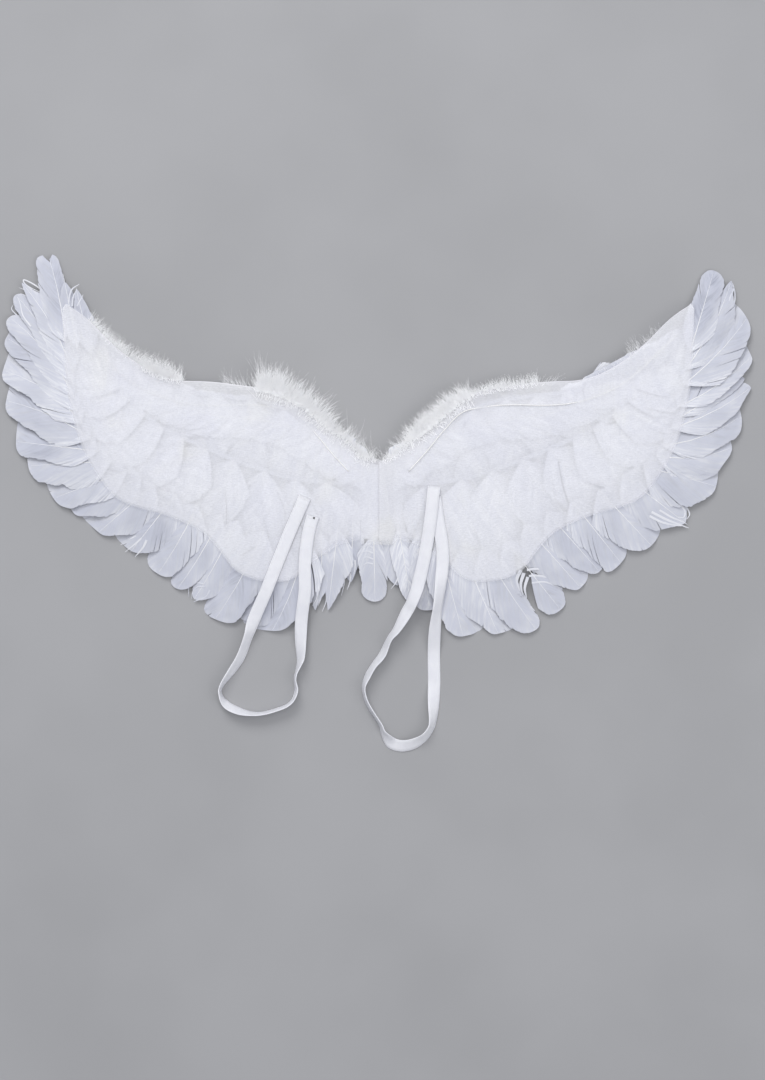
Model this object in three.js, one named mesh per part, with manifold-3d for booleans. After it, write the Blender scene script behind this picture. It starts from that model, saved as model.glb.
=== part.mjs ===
// White feather costume wings with two elastic shoulder loops.
// Millimetres, +Z up. The wings lie on the floor on their feathered front, and the side that
// faces the wearer's back is up. The origin is on the floor under the middle of the seam.
// Each wing is built outward and up from the seam, and the left one is then mirrored.
import * as THREE from 'three';
import Module from 'manifold-3d';
import { mergeVertices } from 'three/addons/utils/BufferGeometryUtils.js';

const wasm = await Module();
wasm.setup();

// Driving dimensions
const SHEET_REACH = 316; // from the seam to the outer end of a wing's backing sheet
const SHEET_RISE = 203; // from the middle of the seam up to the sheet's top corner
const SHEET_THICKNESS = 1; // nonwoven cloth
const SEAM_OVERLAP = 14; // how far the left sheet runs on under the right one
const SHEET_EDGE_SAG = 0.3; // how far the sheet's lower edge hangs below its middle
const FEATHER_LENGTH = 100; // an outer feather, along a straight line from root to tip
const FEATHER_WIDTH = 32; // an outer feather at its widest
const VANE_THICKNESS = 1;
const SHAFT_RIDGE = 0.5; // how far the shaft stands proud of each face of the vane
const VANE_CAMBER = 0.65; // how far the edges of a vane lie below its shaft
const SHINGLE_SLOPE = 0.14; // sideways tilt that lays each feather over the next one
const ROOT_HEIGHT = 11; // height of each feather's root over the floor
const TIP_HEIGHT = 2.2; // height of each feather's tip over the floor
const COVERT_WIDTH = 38; // a feather of the inner rows
const BINDING_WIDTH = 6; // strip that the roots of an inner row are bound to
const BINDING_THICKNESS = 1;
const STRAP_WIDTH = 12.5; // half-inch elastic
const STRAP_THICKNESS = 1.1;
const STRAP_FALL = 242; // from the middle of the seam down to the lowest bend of a loop
const WIRE_DIAMETER = 2; // edge wire that stiffens each wing
const DOWN_CORE_RADIUS = 5; // core of the fluffy down trim along the top edge
const DOWN_LENGTH = 27; // longest lock of down, from the middle of the core
const DOWN_LOCK_RADIUS = 4.6; // a lock where it leaves the core
const CENTRE_FEATHER_LENGTH = 66;
const CENTRE_FEATHER_WIDTH = 26;
const CLEARANCE = 0.3; // gap between pieces that rest on each other

// Heights that follow from them
const SHEET_BASE = ROOT_HEIGHT + VANE_THICKNESS / 2 + SHAFT_RIDGE + CLEARANCE;
const SHEET_TOP = SHEET_BASE + SHEET_THICKNESS;
const SEAM_LIFT = SHEET_THICKNESS + CLEARANCE;
const STRAP_ON_SHEET = SHEET_TOP + CLEARANCE + STRAP_THICKNESS / 2;

const COLOURS = { sheet: 0xe9e8ef, feather: 0xdfe1e8, elastic: 0xf3f2f6, down: 0xf5f5f7, wire: 0xf2efe6 };

// Outline of a backing sheet: x as a share of its reach, lower and upper edge as shares of its rise.
const SHEET_OUTLINE = [
  { x: 0.06, low: -0.18, high: 0.25 },
  { x: 0.09, low: -0.19, high: 0.31 },
  { x: 0.13, low: -0.21, high: 0.35 },
  { x: 0.20, low: -0.28, high: 0.44 },
  { x: 0.27, low: -0.37, high: 0.52 },
  { x: 0.34, low: -0.385, high: 0.56 },
  { x: 0.41, low: -0.365, high: 0.58 },
  { x: 0.46, low: -0.32, high: 0.59 },
  { x: 0.51, low: -0.22, high: 0.60 },
  { x: 0.56, low: -0.14, high: 0.605 },
  { x: 0.63, low: -0.085, high: 0.61 },
  { x: 0.70, low: -0.045, high: 0.64 },
  { x: 0.77, low: -0.015, high: 0.70 },
  { x: 0.84, low: 0.04, high: 0.785 },
  { x: 0.91, low: 0.185, high: 0.895 },
  { x: 0.95, low: 0.32, high: 0.945 },
  { x: 0.975, low: 0.46, high: 0.97 },
  { x: 0.99, low: 0.60, high: 0.985 },
  { x: 1.00, low: 0.82, high: 0.96 },
];
const SEAM_LOW = -0.2;
const SEAM_HIGH = 0.205;
const LAP_HIGH = 0.235; // upper edge where the lap ends
// Rows of points across the sheet, from its lower to its upper edge.
const SHEET_ROWS = [0, 0.1, 0.2, 1];

// Outline of a feather: distance from the root and half width, as shares of its length and half width.
const FEATHER_OUTLINE = [
  { along: 0, half: 0.08 },
  { along: 0.16, half: 0.12 },
  { along: 0.36, half: 0.78 },
  { along: 0.6, half: 1 },
  { along: 0.82, half: 0.96 },
  { along: 0.94, half: 0.7 },
  { along: 1, half: 0.25 },
];
const THINNEST_HALF = 1.1; // half width of the bare quill
const DROOP_POWER = 1.7; // an outer feather leaves its root level and droops towards its tip
const COVERT_DROOP_POWER = 1.25; // an inner feather droops sooner, under the roots of the row outside it

// Outer feathers, from the wing's tip round to the seam. tipX and tipY are shares of the sheet's
// reach and rise, angle is in degrees from straight outward, and length and width are shares of
// the feather's sizes. bow is the bend of its shaft, positive towards the next feather, and split
// is the share of its length along which the vane has come apart. A lifted feather droops less.
const LEFT_PRIMARIES = [
  { tipX: 0.96, tipY: 1.08, angle: 77, length: 0.72, width: 0.56, bow: 0, split: 0.25, lift: 1 },
  { tipX: 1.00, tipY: 1.14, angle: 79, length: 0.79, width: 0.46, bow: 0, split: 0, lift: 0.78 },
  { tipX: 1.05, tipY: 1.23, angle: 78, length: 0.9, width: 0.78, bow: -0.03, split: 0.12 },
  { tipX: 1.13, tipY: 1.09, angle: 60, length: 1.03, width: 0.73, bow: -0.045, split: 0.35, lift: 0.36 },
  { tipX: 1.15, tipY: 1.03, angle: 57, length: 1.07, width: 0.7, bow: -0.045, split: 0, lift: 0.11 },
  { tipX: 1.17, tipY: 0.92, angle: 51, length: 1.03, width: 0.79, bow: -0.065, split: 0, lift: 0.11 },
  { tipX: 1.18, tipY: 0.82, angle: 46, length: 1.03, width: 0.81, bow: -0.08, split: 0 },
  { tipX: 1.19, tipY: 0.66, angle: 34, length: 0.96, width: 0.94, bow: -0.08, split: 0 },
  { tipX: 1.18, tipY: 0.51, angle: 24, length: 0.93, width: 0.97, bow: -0.05, split: 0 },
  { tipX: 1.15, tipY: 0.31, angle: 7, length: 0.84, width: 1, bow: 0, split: 0 },
  { tipX: 1.11, tipY: 0.19, angle: -3, length: 0.84, width: 0.94, bow: 0, split: 0 },
  { tipX: 1.03, tipY: 0.03, angle: -20, length: 0.79, width: 1.03, bow: 0, split: 0 },
  { tipX: 0.96, tipY: -0.03, angle: -27, length: 0.75, width: 0.88, bow: 0, split: 0 },
  { tipX: 0.89, tipY: -0.14, angle: -40, length: 0.75, width: 0.88, bow: 0, split: 0 },
  { tipX: 0.79, tipY: -0.24, angle: -51, length: 0.76, width: 0.84, bow: 0, split: 0.3 },
  { tipX: 0.70, tipY: -0.34, angle: -60, length: 0.8, width: 1.03, bow: 0.03, split: 0 },
  { tipX: 0.64, tipY: -0.42, angle: -59, length: 0.88, width: 0.78, bow: 0.03, split: 0 },
  { tipX: 0.59, tipY: -0.48, angle: -61, length: 0.94, width: 0.69, bow: 0.02, split: 0.35 },
  { tipX: 0.52, tipY: -0.57, angle: -61, length: 1.03, width: 1.06, bow: 0.03, split: 0.06 },
  { tipX: 0.41, tipY: -0.58, angle: -69, length: 0.92, width: 0.88, bow: 0.03, split: 0 },
  { tipX: 0.34, tipY: -0.63, angle: -70, length: 1.01, width: 1.19, bow: 0.05, split: 0 },
  { tipX: 0.20, tipY: -0.52, angle: -86, length: 0.78, width: 0.44, bow: 0.04, split: 0.3 },
  { tipX: 0.16, tipY: -0.52, angle: -83, length: 0.82, width: 0.75, bow: 0, split: 0 },
  { tipX: 0.088, tipY: -0.40, angle: -88, length: 0.66, width: 0.75, bow: 0, split: 0.25 },
];
const RIGHT_PRIMARIES = [
  { tipX: 1.065, tipY: 1.15, angle: 73, length: 0.86, width: 0.84, bow: 0, split: 0 },
  { tipX: 1.12, tipY: 1.10, angle: 62, length: 1.01, width: 0.64, bow: 0.045, split: 0.3 },
  { tipX: 1.17, tipY: 0.92, angle: 46, length: 0.94, width: 1.1, bow: 0.04, split: 0 },
  { tipX: 1.18, tipY: 0.725, angle: 34, length: 0.9, width: 0.9, bow: 0.05, split: 0, lift: 0.03 },
  { tipX: 1.16, tipY: 0.62, angle: 31, length: 0.78, width: 0.47, bow: 0, split: 0, lift: 0.01 },
  { tipX: 1.18, tipY: 0.575, angle: 27, length: 0.9, width: 0.82, bow: 0.05, split: 0 },
  { tipX: 1.145, tipY: 0.43, angle: 20, length: 0.83, width: 0.88, bow: 0.07, split: 0 },
  { tipX: 1.12, tipY: 0.28, angle: 6, length: 0.77, width: 0.84, bow: 0.08, split: 0 },
  { tipX: 1.07, tipY: 0.09, angle: -15, length: 0.76, width: 1.06, bow: 0, split: 0 },
  { tipX: 0.985, tipY: -0.105, angle: -37, length: 0.85, width: 0.94, bow: 0, split: 0.35 },
  { tipX: 0.87, tipY: -0.21, angle: -46, length: 0.79, width: 1.09, bow: 0, split: 0 },
  { tipX: 0.77, tipY: -0.29, angle: -51, length: 0.81, width: 0.94, bow: 0, split: 0 },
  { tipX: 0.70, tipY: -0.33, angle: -48, length: 0.8, width: 0.94, bow: 0, split: 0 },
  { tipX: 0.64, tipY: -0.41, angle: -48, length: 0.85, width: 0.81, bow: 0, split: 0 },
  { tipX: 0.575, tipY: -0.515, angle: -51, length: 0.88, width: 0.97, bow: 0, split: 0.4 },
  { tipX: 0.50, tipY: -0.62, angle: -57, length: 1, width: 1, bow: 0.02, split: 0 },
  { tipX: 0.38, tipY: -0.64, angle: -66, length: 0.94, width: 0.84, bow: 0, split: 0.06 },
  { tipX: 0.27, tipY: -0.66, angle: -75, length: 1, width: 1.31, bow: 0, split: 0 },
  { tipX: 0.16, tipY: -0.52, angle: -84, length: 0.8, width: 0.69, bow: 0, split: 0 },
  { tipX: 0.105, tipY: -0.485, angle: -80, length: 0.77, width: 0.75, bow: 0, split: 0.2 },
  { tipX: 0.062, tipY: -0.40, angle: -82, length: 0.64, width: 0.56, bow: 0, split: 0.2 },
];
const SPLIT_WIDTH = 0.2; // width of a split at the tip, as a share of the feather's width
const SPLIT_OFFSET = 0.12; // from the shaft to the split, as a share of the feather's width

// The centre feather's tip, as shares of the sheet's reach and rise, and how far its shaft runs
// sideways, as a share of its length.
const CENTRE_FEATHER_TIP = { x: -0.011, y: -0.478 };
const CENTRE_FEATHER_LEAN = -0.02;

// The two inner rows of feathers: guide points for their roots and tips, from the wing's tip to
// the seam, as shares of the sheet's reach and rise.
const MIDDLE_ROW = {
  count: 10,
  guides: [
    { rootX: 0.83, rootY: 0.60, tipX: 0.99, tipY: 0.88 },
    { rootX: 0.78, rootY: 0.50, tipX: 1.03, tipY: 0.62 },
    { rootX: 0.69, rootY: 0.38, tipX: 0.98, tipY: 0.29 },
    { rootX: 0.58, rootY: 0.30, tipX: 0.80, tipY: 0.01 },
    { rootX: 0.44, rootY: 0.21, tipX: 0.55, tipY: -0.20 },
    { rootX: 0.28, rootY: 0.13, tipX: 0.31, tipY: -0.40 },
    { rootX: 0.12, rootY: 0.10, tipX: 0.10, tipY: -0.21 },
  ],
};
const UPPER_ROW = {
  count: 7,
  guides: [
    { rootX: 0.68, rootY: 0.57, tipX: 0.84, tipY: 0.62 },
    { rootX: 0.59, rootY: 0.55, tipX: 0.74, tipY: 0.36 },
    { rootX: 0.47, rootY: 0.53, tipX: 0.54, tipY: 0.17 },
    { rootX: 0.33, rootY: 0.49, tipX: 0.35, tipY: 0.03 },
    { rootX: 0.20, rootY: 0.37, tipX: 0.20, tipY: 0.0 },
    { rootX: 0.10, rootY: 0.24, tipX: 0.07, tipY: 0.0 },
  ],
};

// Shoulder loops: x as a share of the sheet's reach, y as a share of the loop's fall. rise is 1 on
// the sheet and 0 on the floor, and turn is the strap's twist in degrees, 90 standing on its edge.
const LEFT_STRAP_ROUTE = [
  { x: 0.233, y: 0.029, rise: 1, turn: 0 },
  { x: 0.278, y: -0.132, rise: 1, turn: 0 },
  { x: 0.329, y: -0.298, rise: 1, turn: 0 },
  { x: 0.358, y: -0.364, rise: 0.95, turn: 0 },
  { x: 0.399, y: -0.474, rise: 0.6, turn: 10 },
  { x: 0.417, y: -0.545, rise: 0.3, turn: 50 },
  { x: 0.435, y: -0.632, rise: 0.05, turn: 50 },
  { x: 0.465, y: -0.69, rise: 0, turn: 64 },
  { x: 0.498, y: -0.752, rise: 0, turn: 76 },
  { x: 0.502, y: -0.789, rise: 0, turn: 80 },
  { x: 0.483, y: -0.831, rise: 0, turn: 58 },
  { x: 0.445, y: -0.857, rise: 0, turn: 60 },
  { x: 0.4, y: -0.869, rise: 0, turn: 76 },
  { x: 0.362, y: -0.866, rise: 0, turn: 80 },
  { x: 0.321, y: -0.851, rise: 0, turn: 80 },
  { x: 0.293, y: -0.83, rise: 0, turn: 80 },
  { x: 0.274, y: -0.804, rise: 0, turn: 78 },
  { x: 0.261, y: -0.771, rise: 0, turn: 74 },
  { x: 0.265, y: -0.731, rise: 0, turn: 80 },
  { x: 0.262, y: -0.702, rise: 0, turn: 80 },
  { x: 0.252, y: -0.664, rise: 0, turn: 66 },
  { x: 0.245, y: -0.632, rise: 0.05, turn: 50 },
  { x: 0.244, y: -0.553, rise: 0.3, turn: 20 },
  { x: 0.241, y: -0.474, rise: 0.6, turn: 0 },
  { x: 0.233, y: -0.355, rise: 0.95, turn: 0 },
  { x: 0.228, y: -0.248, rise: 1, turn: 0 },
  { x: 0.218, y: -0.124, rise: 1, turn: 0 },
  { x: 0.208, y: -0.033, rise: 1, turn: 0 },
];
const RIGHT_STRAP_ROUTE = [
  { x: 0.176, y: 0.074, rise: 1.15, turn: 0 },
  { x: 0.158, y: -0.124, rise: 1.11, turn: 0 },
  { x: 0.131, y: -0.306, rise: 1, turn: 0 },
  { x: 0.108, y: -0.399, rise: 0.8, turn: 25 },
  { x: 0.088, y: -0.45, rise: 0.55, turn: 25 },
  { x: 0.054, y: -0.519, rise: 0.3, turn: 50 },
  { x: 0.032, y: -0.56, rise: 0.15, turn: 68 },
  { x: 0.01, y: -0.624, rise: 0, turn: 57 },
  { x: -0.016, y: -0.669, rise: 0, turn: 67 },
  { x: -0.035, y: -0.714, rise: 0, turn: 64 },
  { x: -0.044, y: -0.758, rise: 0, turn: 77 },
  { x: -0.038, y: -0.803, rise: 0, turn: 80 },
  { x: -0.022, y: -0.847, rise: 0, turn: 80 },
  { x: 0.012, y: -0.915, rise: 0, turn: 80 },
  { x: 0.025, y: -0.95, rise: 0, turn: 74 },
  { x: 0.04, y: -0.986, rise: 0, turn: 25 },
  { x: 0.065, y: -0.999, rise: 0, turn: 28 },
  { x: 0.089, y: -0.998, rise: 0, turn: 40 },
  { x: 0.116, y: -0.984, rise: 0, turn: 53 },
  { x: 0.143, y: -0.962, rise: 0, turn: 70 },
  { x: 0.163, y: -0.93, rise: 0, turn: 70 },
  { x: 0.168, y: -0.901, rise: 0, turn: 58 },
  { x: 0.172, y: -0.87, rise: 0, turn: 52 },
  { x: 0.173, y: -0.803, rise: 0, turn: 32 },
  { x: 0.174, y: -0.736, rise: 0, turn: 0 },
  { x: 0.176, y: -0.624, rise: 0.05, turn: 0 },
  { x: 0.178, y: -0.533, rise: 0.45, turn: 15 },
  { x: 0.185, y: -0.446, rise: 0.7, turn: 40 },
  { x: 0.19, y: -0.397, rise: 0.85, turn: 40 },
  { x: 0.198, y: -0.335, rise: 0.97, turn: 25 },
  { x: 0.209, y: -0.207, rise: 1, turn: 0 },
  { x: 0.215, y: -0.12, rise: 1, turn: 0 },
  { x: 0.199, y: 0.012, rise: 1, turn: 0 },
];

// The edge wire of a wing, on the sheet below its top edge.
const WIRE_ROUTE = [
  { x: 0.095, y: 0.16 },
  { x: 0.165, y: 0.28 },
  { x: 0.265, y: 0.45 },
  { x: 0.375, y: 0.485 },
  { x: 0.605, y: 0.495 },
  { x: 0.765, y: 0.585 },
  { x: 0.95, y: 0.84 },
];
const WIRE_STEPS = 12;
const WIRE_SIDES = 6;

// Stretches of down trim along the top edge: from and to as shares of the sheet's reach, and how
// many locks each holds. near and far are the lengths of the locks at the two ends as shares of
// the longest one, and core is the share of the core's radius.
const DOWN_TRIMS = [
  { name: 'left_down_inner', side: -1, from: 0.02, to: 0.4, locks: 13, near: 0.65, far: 1.05, core: 1 },
  { name: 'left_down_outer', side: -1, from: 0.6, to: 0.89, locks: 9, near: 0.85, far: 0.6, core: 0.8 },
  { name: 'right_down_inner', side: 1, from: 0.03, to: 0.54, locks: 16, near: 0.75, far: 0.5, core: 0.9 },
  { name: 'right_down_outer', side: 1, from: 0.66, to: 0.88, locks: 7, near: 0.5, far: 0.3, core: 0.6 },
];
const CORE_SIDES = 6;
const CORE_STEP = 26; // distance between the sections of a core
// A lock of down: its sections, and the rises and leans that the locks take in turn. A rise is a
// share of the lock's length, and LOCK_LEAN is the spread of their directions in radians.
const LOCK_SECTIONS = [
  { along: 0, radius: 1 },
  { along: 0.45, radius: 0.77 },
  { along: 1, radius: 0.25 },
];
const LOCK_RISES = [-0.25, 0.3, 0.05];
const LOCK_CURL = 1.4; // a lock rises at once and levels out towards its tip
const LOCK_LEAN = 0.9;
const LOCK_SCATTER = 0.2; // share by which a lock may be shorter than the longest beside it

// A repeatable scatter between 0 and 1.
const scatter = (seed) => Math.abs(Math.sin(seed * 12.9898) * 43758.5453) % 1;

// Value of a table's column at a place between two of its rows.
function interpolate(table, key, at, column) {
  const beyond = table.findIndex((row) => row[key] >= at);
  if (beyond === 0) return table[0][column];
  if (beyond < 0) return table[table.length - 1][column];
  const before = table[beyond - 1];
  const after = table[beyond];
  const share = (at - before[key]) / (after[key] - before[key]);
  return before[column] + share * (after[column] - before[column]);
}

// Turns a closed geometry so that its faces point out.
function facingOut(geometry) {
  const position = geometry.getAttribute('position');
  const index = geometry.getIndex();
  const corners = [new THREE.Vector3(), new THREE.Vector3(), new THREE.Vector3()];
  let volume = 0;
  for (let face = 0; face < index.count; face += 3) {
    corners.forEach((corner, side) => corner.fromBufferAttribute(position, index.getX(face + side)));
    volume += corners[0].dot(corners[1].clone().cross(corners[2]));
  }
  if (volume < 0) index.array.reverse();
  return geometry;
}

// A closed solid through rings with the same even number of points. A ring runs along one face
// and back along the other, so each end is closed by strips from one face to the other, and the
// quads of the two faces are cut along diagonals that run the same way, however much it twists.
function loft(rings) {
  const count = rings[0].length;
  const indices = [];
  const addQuad = (a, b, c, d) => indices.push(a, b, c, a, c, d);
  for (let ring = 0; ring < rings.length - 1; ring += 1) {
    for (let side = 0; side < count; side += 1) {
      const start = ring * count + side;
      const end = ring * count + (side + 1) % count;
      if (side < count / 2) addQuad(start, end, end + count, start + count);
      else addQuad(end, end + count, start + count, start);
    }
  }
  const last = (rings.length - 1) * count;
  for (let side = 0; side < count / 2 - 1; side += 1) {
    const opposite = count - 1 - side;
    addQuad(side, opposite, opposite - 1, side + 1);
    addQuad(last + side, last + side + 1, last + opposite - 1, last + opposite);
  }
  const geometry = new THREE.BufferGeometry();
  const positions = rings.flat().flatMap((point) => point.toArray());
  geometry.setAttribute('position', new THREE.Float32BufferAttribute(positions, 3));
  geometry.setIndex(indices);
  return facingOut(geometry);
}

function solidFrom(geometry) {
  const bare = geometry.clone();
  bare.deleteAttribute('normal');
  bare.deleteAttribute('uv');
  const merged = mergeVertices(bare, 1e-4);
  return new wasm.Manifold(new wasm.Mesh({
    numProp: 3,
    vertProperties: new Float32Array(merged.getAttribute('position').array),
    triVerts: new Uint32Array(merged.getIndex().array),
  }));
}

function geometryFrom(solid) {
  const mesh = solid.getMesh();
  const geometry = new THREE.BufferGeometry();
  geometry.setAttribute('position', new THREE.BufferAttribute(mesh.vertProperties, mesh.numProp));
  geometry.setIndex(new THREE.BufferAttribute(mesh.triVerts, 1));
  return geometry;
}

// Mirrors a geometry onto the left wing where side is -1.
function onSide(geometry, side) {
  geometry.scale(side, 1, 1);
  return facingOut(geometry);
}

// The smooth edge of a sheet, 'low' or 'high', at a distance from the seam.
function sheetEdge(edge, x) {
  return SHEET_RISE * interpolate(SHEET_OUTLINE, 'x', x / SHEET_REACH, edge);
}

// One wing's backing sheet. The left one runs on under the right one at the seam, and the right
// one is lifted there by its own thickness.
function backingSheet(side) {
  const seam = side < 0 ? -SEAM_OVERLAP / SHEET_REACH : 0;
  const lapped = SEAM_OVERLAP / SHEET_REACH;
  const stations = [
    { x: seam, low: SEAM_LOW, high: SEAM_HIGH },
    { x: lapped, low: SEAM_LOW, high: LAP_HIGH },
    ...SHEET_OUTLINE,
  ];
  const rings = stations.map((station) => {
    const lift = side > 0 && station.x <= lapped ? SEAM_LIFT : 0;
    const low = station.low * SHEET_RISE;
    const high = station.high * SHEET_RISE;
    const pointAt = (share, level) => {
      const nearEdge = Math.max(0, 1 - share / SHEET_ROWS[2]);
      const z = level + lift - SHEET_EDGE_SAG * nearEdge ** 2;
      return new THREE.Vector3(station.x * SHEET_REACH, low + share * (high - low), z);
    };
    const top = SHEET_ROWS.map((share) => pointAt(share, SHEET_TOP));
    const bottom = SHEET_ROWS.map((share) => pointAt(share, SHEET_BASE));
    return [...top, ...bottom.reverse()];
  });
  return onSide(loft(rings), side);
}

// One feather from root to tip, as a bent and drooping vane with a shaft along its middle.
function feather({ root, tip, width, bow = 0, split = 0, lift = 0, droop = DROOP_POWER }) {
  const chord = tip.clone().sub(root);
  const length = chord.length();
  const along = chord.clone().normalize();
  const next = new THREE.Vector2(along.y, -along.x);
  const half = width / 2;
  const drop = (ROOT_HEIGHT - TIP_HEIGHT) * (1 - lift);
  const rings = FEATHER_OUTLINE.map((station) => {
    const bulge = bow * length * 4 * station.along * (1 - station.along);
    const centre = root.clone().addScaledVector(chord, station.along).addScaledVector(next, bulge);
    const height = ROOT_HEIGHT - drop * station.along ** droop;
    const reach = Math.max(THINNEST_HALF, half * station.half);
    const pointAt = (across, level) => {
      const z = height + SHINGLE_SLOPE * across - VANE_CAMBER * (across / half) ** 2 + level;
      return new THREE.Vector3(centre.x + next.x * across, centre.y + next.y * across, z);
    };
    const face = VANE_THICKNESS / 2;
    return [
      pointAt(-reach, face),
      pointAt(0, face + SHAFT_RIDGE),
      pointAt(reach, face),
      pointAt(reach, -face),
      pointAt(0, -face - SHAFT_RIDGE),
      pointAt(-reach, -face),
    ];
  });
  const vane = loft(rings);
  if (split === 0) return vane;
  return geometryFrom(solidFrom(vane).subtract(splitCut(tip, along, next, length, width, split)));
}

// A wedge that parts a vane from its tip, beside the shaft on the side of the next feather.
function splitCut(tip, along, next, length, width, split) {
  const deep = split * length;
  const mouth = SPLIT_WIDTH * width;
  const shaftSide = SPLIT_OFFSET * width;
  const wedge = new THREE.Shape([
    new THREE.Vector2(-deep, shaftSide),
    new THREE.Vector2(mouth, shaftSide),
    new THREE.Vector2(mouth, shaftSide + mouth),
  ]);
  const cut = new THREE.ExtrudeGeometry(wedge, { depth: 2 * ROOT_HEIGHT, bevelEnabled: false });
  const frame = new THREE.Matrix4().makeBasis(
    new THREE.Vector3(along.x, along.y, 0),
    new THREE.Vector3(-next.x, -next.y, 0),
    new THREE.Vector3(0, 0, 1),
  );
  frame.setPosition(tip.x, tip.y, -ROOT_HEIGHT / 2);
  cut.applyMatrix4(frame);
  return solidFrom(cut);
}

function primaryFeather(entry, side) {
  const angle = THREE.MathUtils.degToRad(entry.angle);
  const length = entry.length * FEATHER_LENGTH;
  const tip = new THREE.Vector2(entry.tipX * SHEET_REACH, entry.tipY * SHEET_RISE);
  const root = tip.clone().sub(new THREE.Vector2(Math.cos(angle), Math.sin(angle)).multiplyScalar(length));
  const width = entry.width * FEATHER_WIDTH;
  const { bow, split, lift } = entry;
  return onSide(feather({ root, tip, width, bow, split, lift }), side);
}

// A smooth plan curve through two columns of a guide table.
function guideCurve(guides, xColumn, yColumn) {
  return new THREE.CatmullRomCurve3(guides.map((guide) => new THREE.Vector3(
    guide[xColumn] * SHEET_REACH,
    guide[yColumn] * SHEET_RISE,
    0,
  )));
}

// An inner row of feathers, bound at the roots by one strip.
function featherRow(row, side) {
  const roots = guideCurve(row.guides, 'rootX', 'rootY');
  const tips = guideCurve(row.guides, 'tipX', 'tipY');
  const planOf = (point) => new THREE.Vector2(point.x, point.y);
  const rings = [];
  const steps = row.count;
  for (let step = 0; step <= steps; step += 1) {
    const centre = roots.getPoint(step / steps);
    const tangent = roots.getTangent(step / steps);
    const across = new THREE.Vector3(-tangent.y, tangent.x, 0).multiplyScalar(BINDING_WIDTH / 2);
    const cornerAt = (sign, level) => {
      const corner = centre.clone().addScaledVector(across, sign);
      corner.z = ROOT_HEIGHT + level * BINDING_THICKNESS / 2;
      return corner;
    };
    rings.push([cornerAt(-1, 1), cornerAt(1, 1), cornerAt(1, -1), cornerAt(-1, -1)]);
  }
  let joined = solidFrom(loft(rings));
  for (let index = 0; index < row.count; index += 1) {
    const share = (index + 0.5) / row.count;
    const root = planOf(roots.getPoint(share));
    const tip = planOf(tips.getPoint(share));
    joined = joined.add(solidFrom(feather({ root, tip, width: COVERT_WIDTH, droop: COVERT_DROOP_POWER })));
  }
  return onSide(geometryFrom(joined), side);
}

// A flat elastic strap that lies on the sheet, falls to the floor and loops back.
function strap(route, side) {
  const places = route.map(({ x, y }) => new THREE.Vector3(x * SHEET_REACH, y * STRAP_FALL, 0));
  const turns = route.map(({ turn }) => THREE.MathUtils.degToRad(turn));
  const lying = STRAP_THICKNESS / 2;
  const rings = places.map((place, index) => {
    const before = places[Math.max(0, index - 1)];
    const after = places[Math.min(places.length - 1, index + 1)];
    const along = after.clone().sub(before).normalize();
    const sideways = new THREE.Vector3(-along.y, along.x, 0);
    const turn = turns[index];
    const wide = sideways.clone().multiplyScalar(Math.cos(turn));
    wide.z = Math.sin(turn);
    const thick = sideways.clone().multiplyScalar(-Math.sin(turn));
    thick.z = Math.cos(turn);
    const centre = place.clone();
    const propped = (STRAP_WIDTH / 2) * Math.sin(turn) - lying * (1 - Math.cos(turn));
    centre.z = lying + route[index].rise * (STRAP_ON_SHEET - lying) + propped;
    const cornerAt = (across, level) => centre.clone()
      .addScaledVector(wide, across * STRAP_WIDTH / 2)
      .addScaledVector(thick, level * STRAP_THICKNESS / 2);
    return [cornerAt(-1, 1), cornerAt(1, 1), cornerAt(1, -1), cornerAt(-1, -1)];
  });
  return onSide(loft(rings), side);
}

// The wire that stiffens a wing, lying on the sheet.
function edgeWire(side) {
  const height = SHEET_TOP + CLEARANCE + WIRE_DIAMETER / 2;
  const path = new THREE.CatmullRomCurve3(WIRE_ROUTE.map(({ x, y }) => (
    new THREE.Vector3(side * x * SHEET_REACH, y * SHEET_RISE, height)
  )));
  const corners = [];
  for (let corner = 0; corner < WIRE_SIDES; corner += 1) {
    const angle = 2 * Math.PI * corner / WIRE_SIDES;
    corners.push(new THREE.Vector2(Math.cos(angle), Math.sin(angle)).multiplyScalar(WIRE_DIAMETER / 2));
  }
  return new THREE.ExtrudeGeometry(new THREE.Shape(corners), { steps: WIRE_STEPS, extrudePath: path });
}

// A lock of down: a bent, tapering four-sided lock from the core outward.
function downLock(start, heading, length, rise) {
  const across = new THREE.Vector3(-heading.y, heading.x, 0);
  const up = new THREE.Vector3(0, 0, 1);
  const rings = LOCK_SECTIONS.map(({ along, radius }) => {
    const centre = start.clone().addScaledVector(heading, length * along);
    centre.z += rise * length * along * (LOCK_CURL - along);
    const side = DOWN_LOCK_RADIUS * radius * Math.SQRT1_2;
    return [[-1, 1], [1, 1], [1, -1], [-1, -1]].map(([sideways, level]) => centre.clone()
      .addScaledVector(across, sideways * side)
      .addScaledVector(up, level * side));
  });
  return loft(rings);
}

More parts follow.
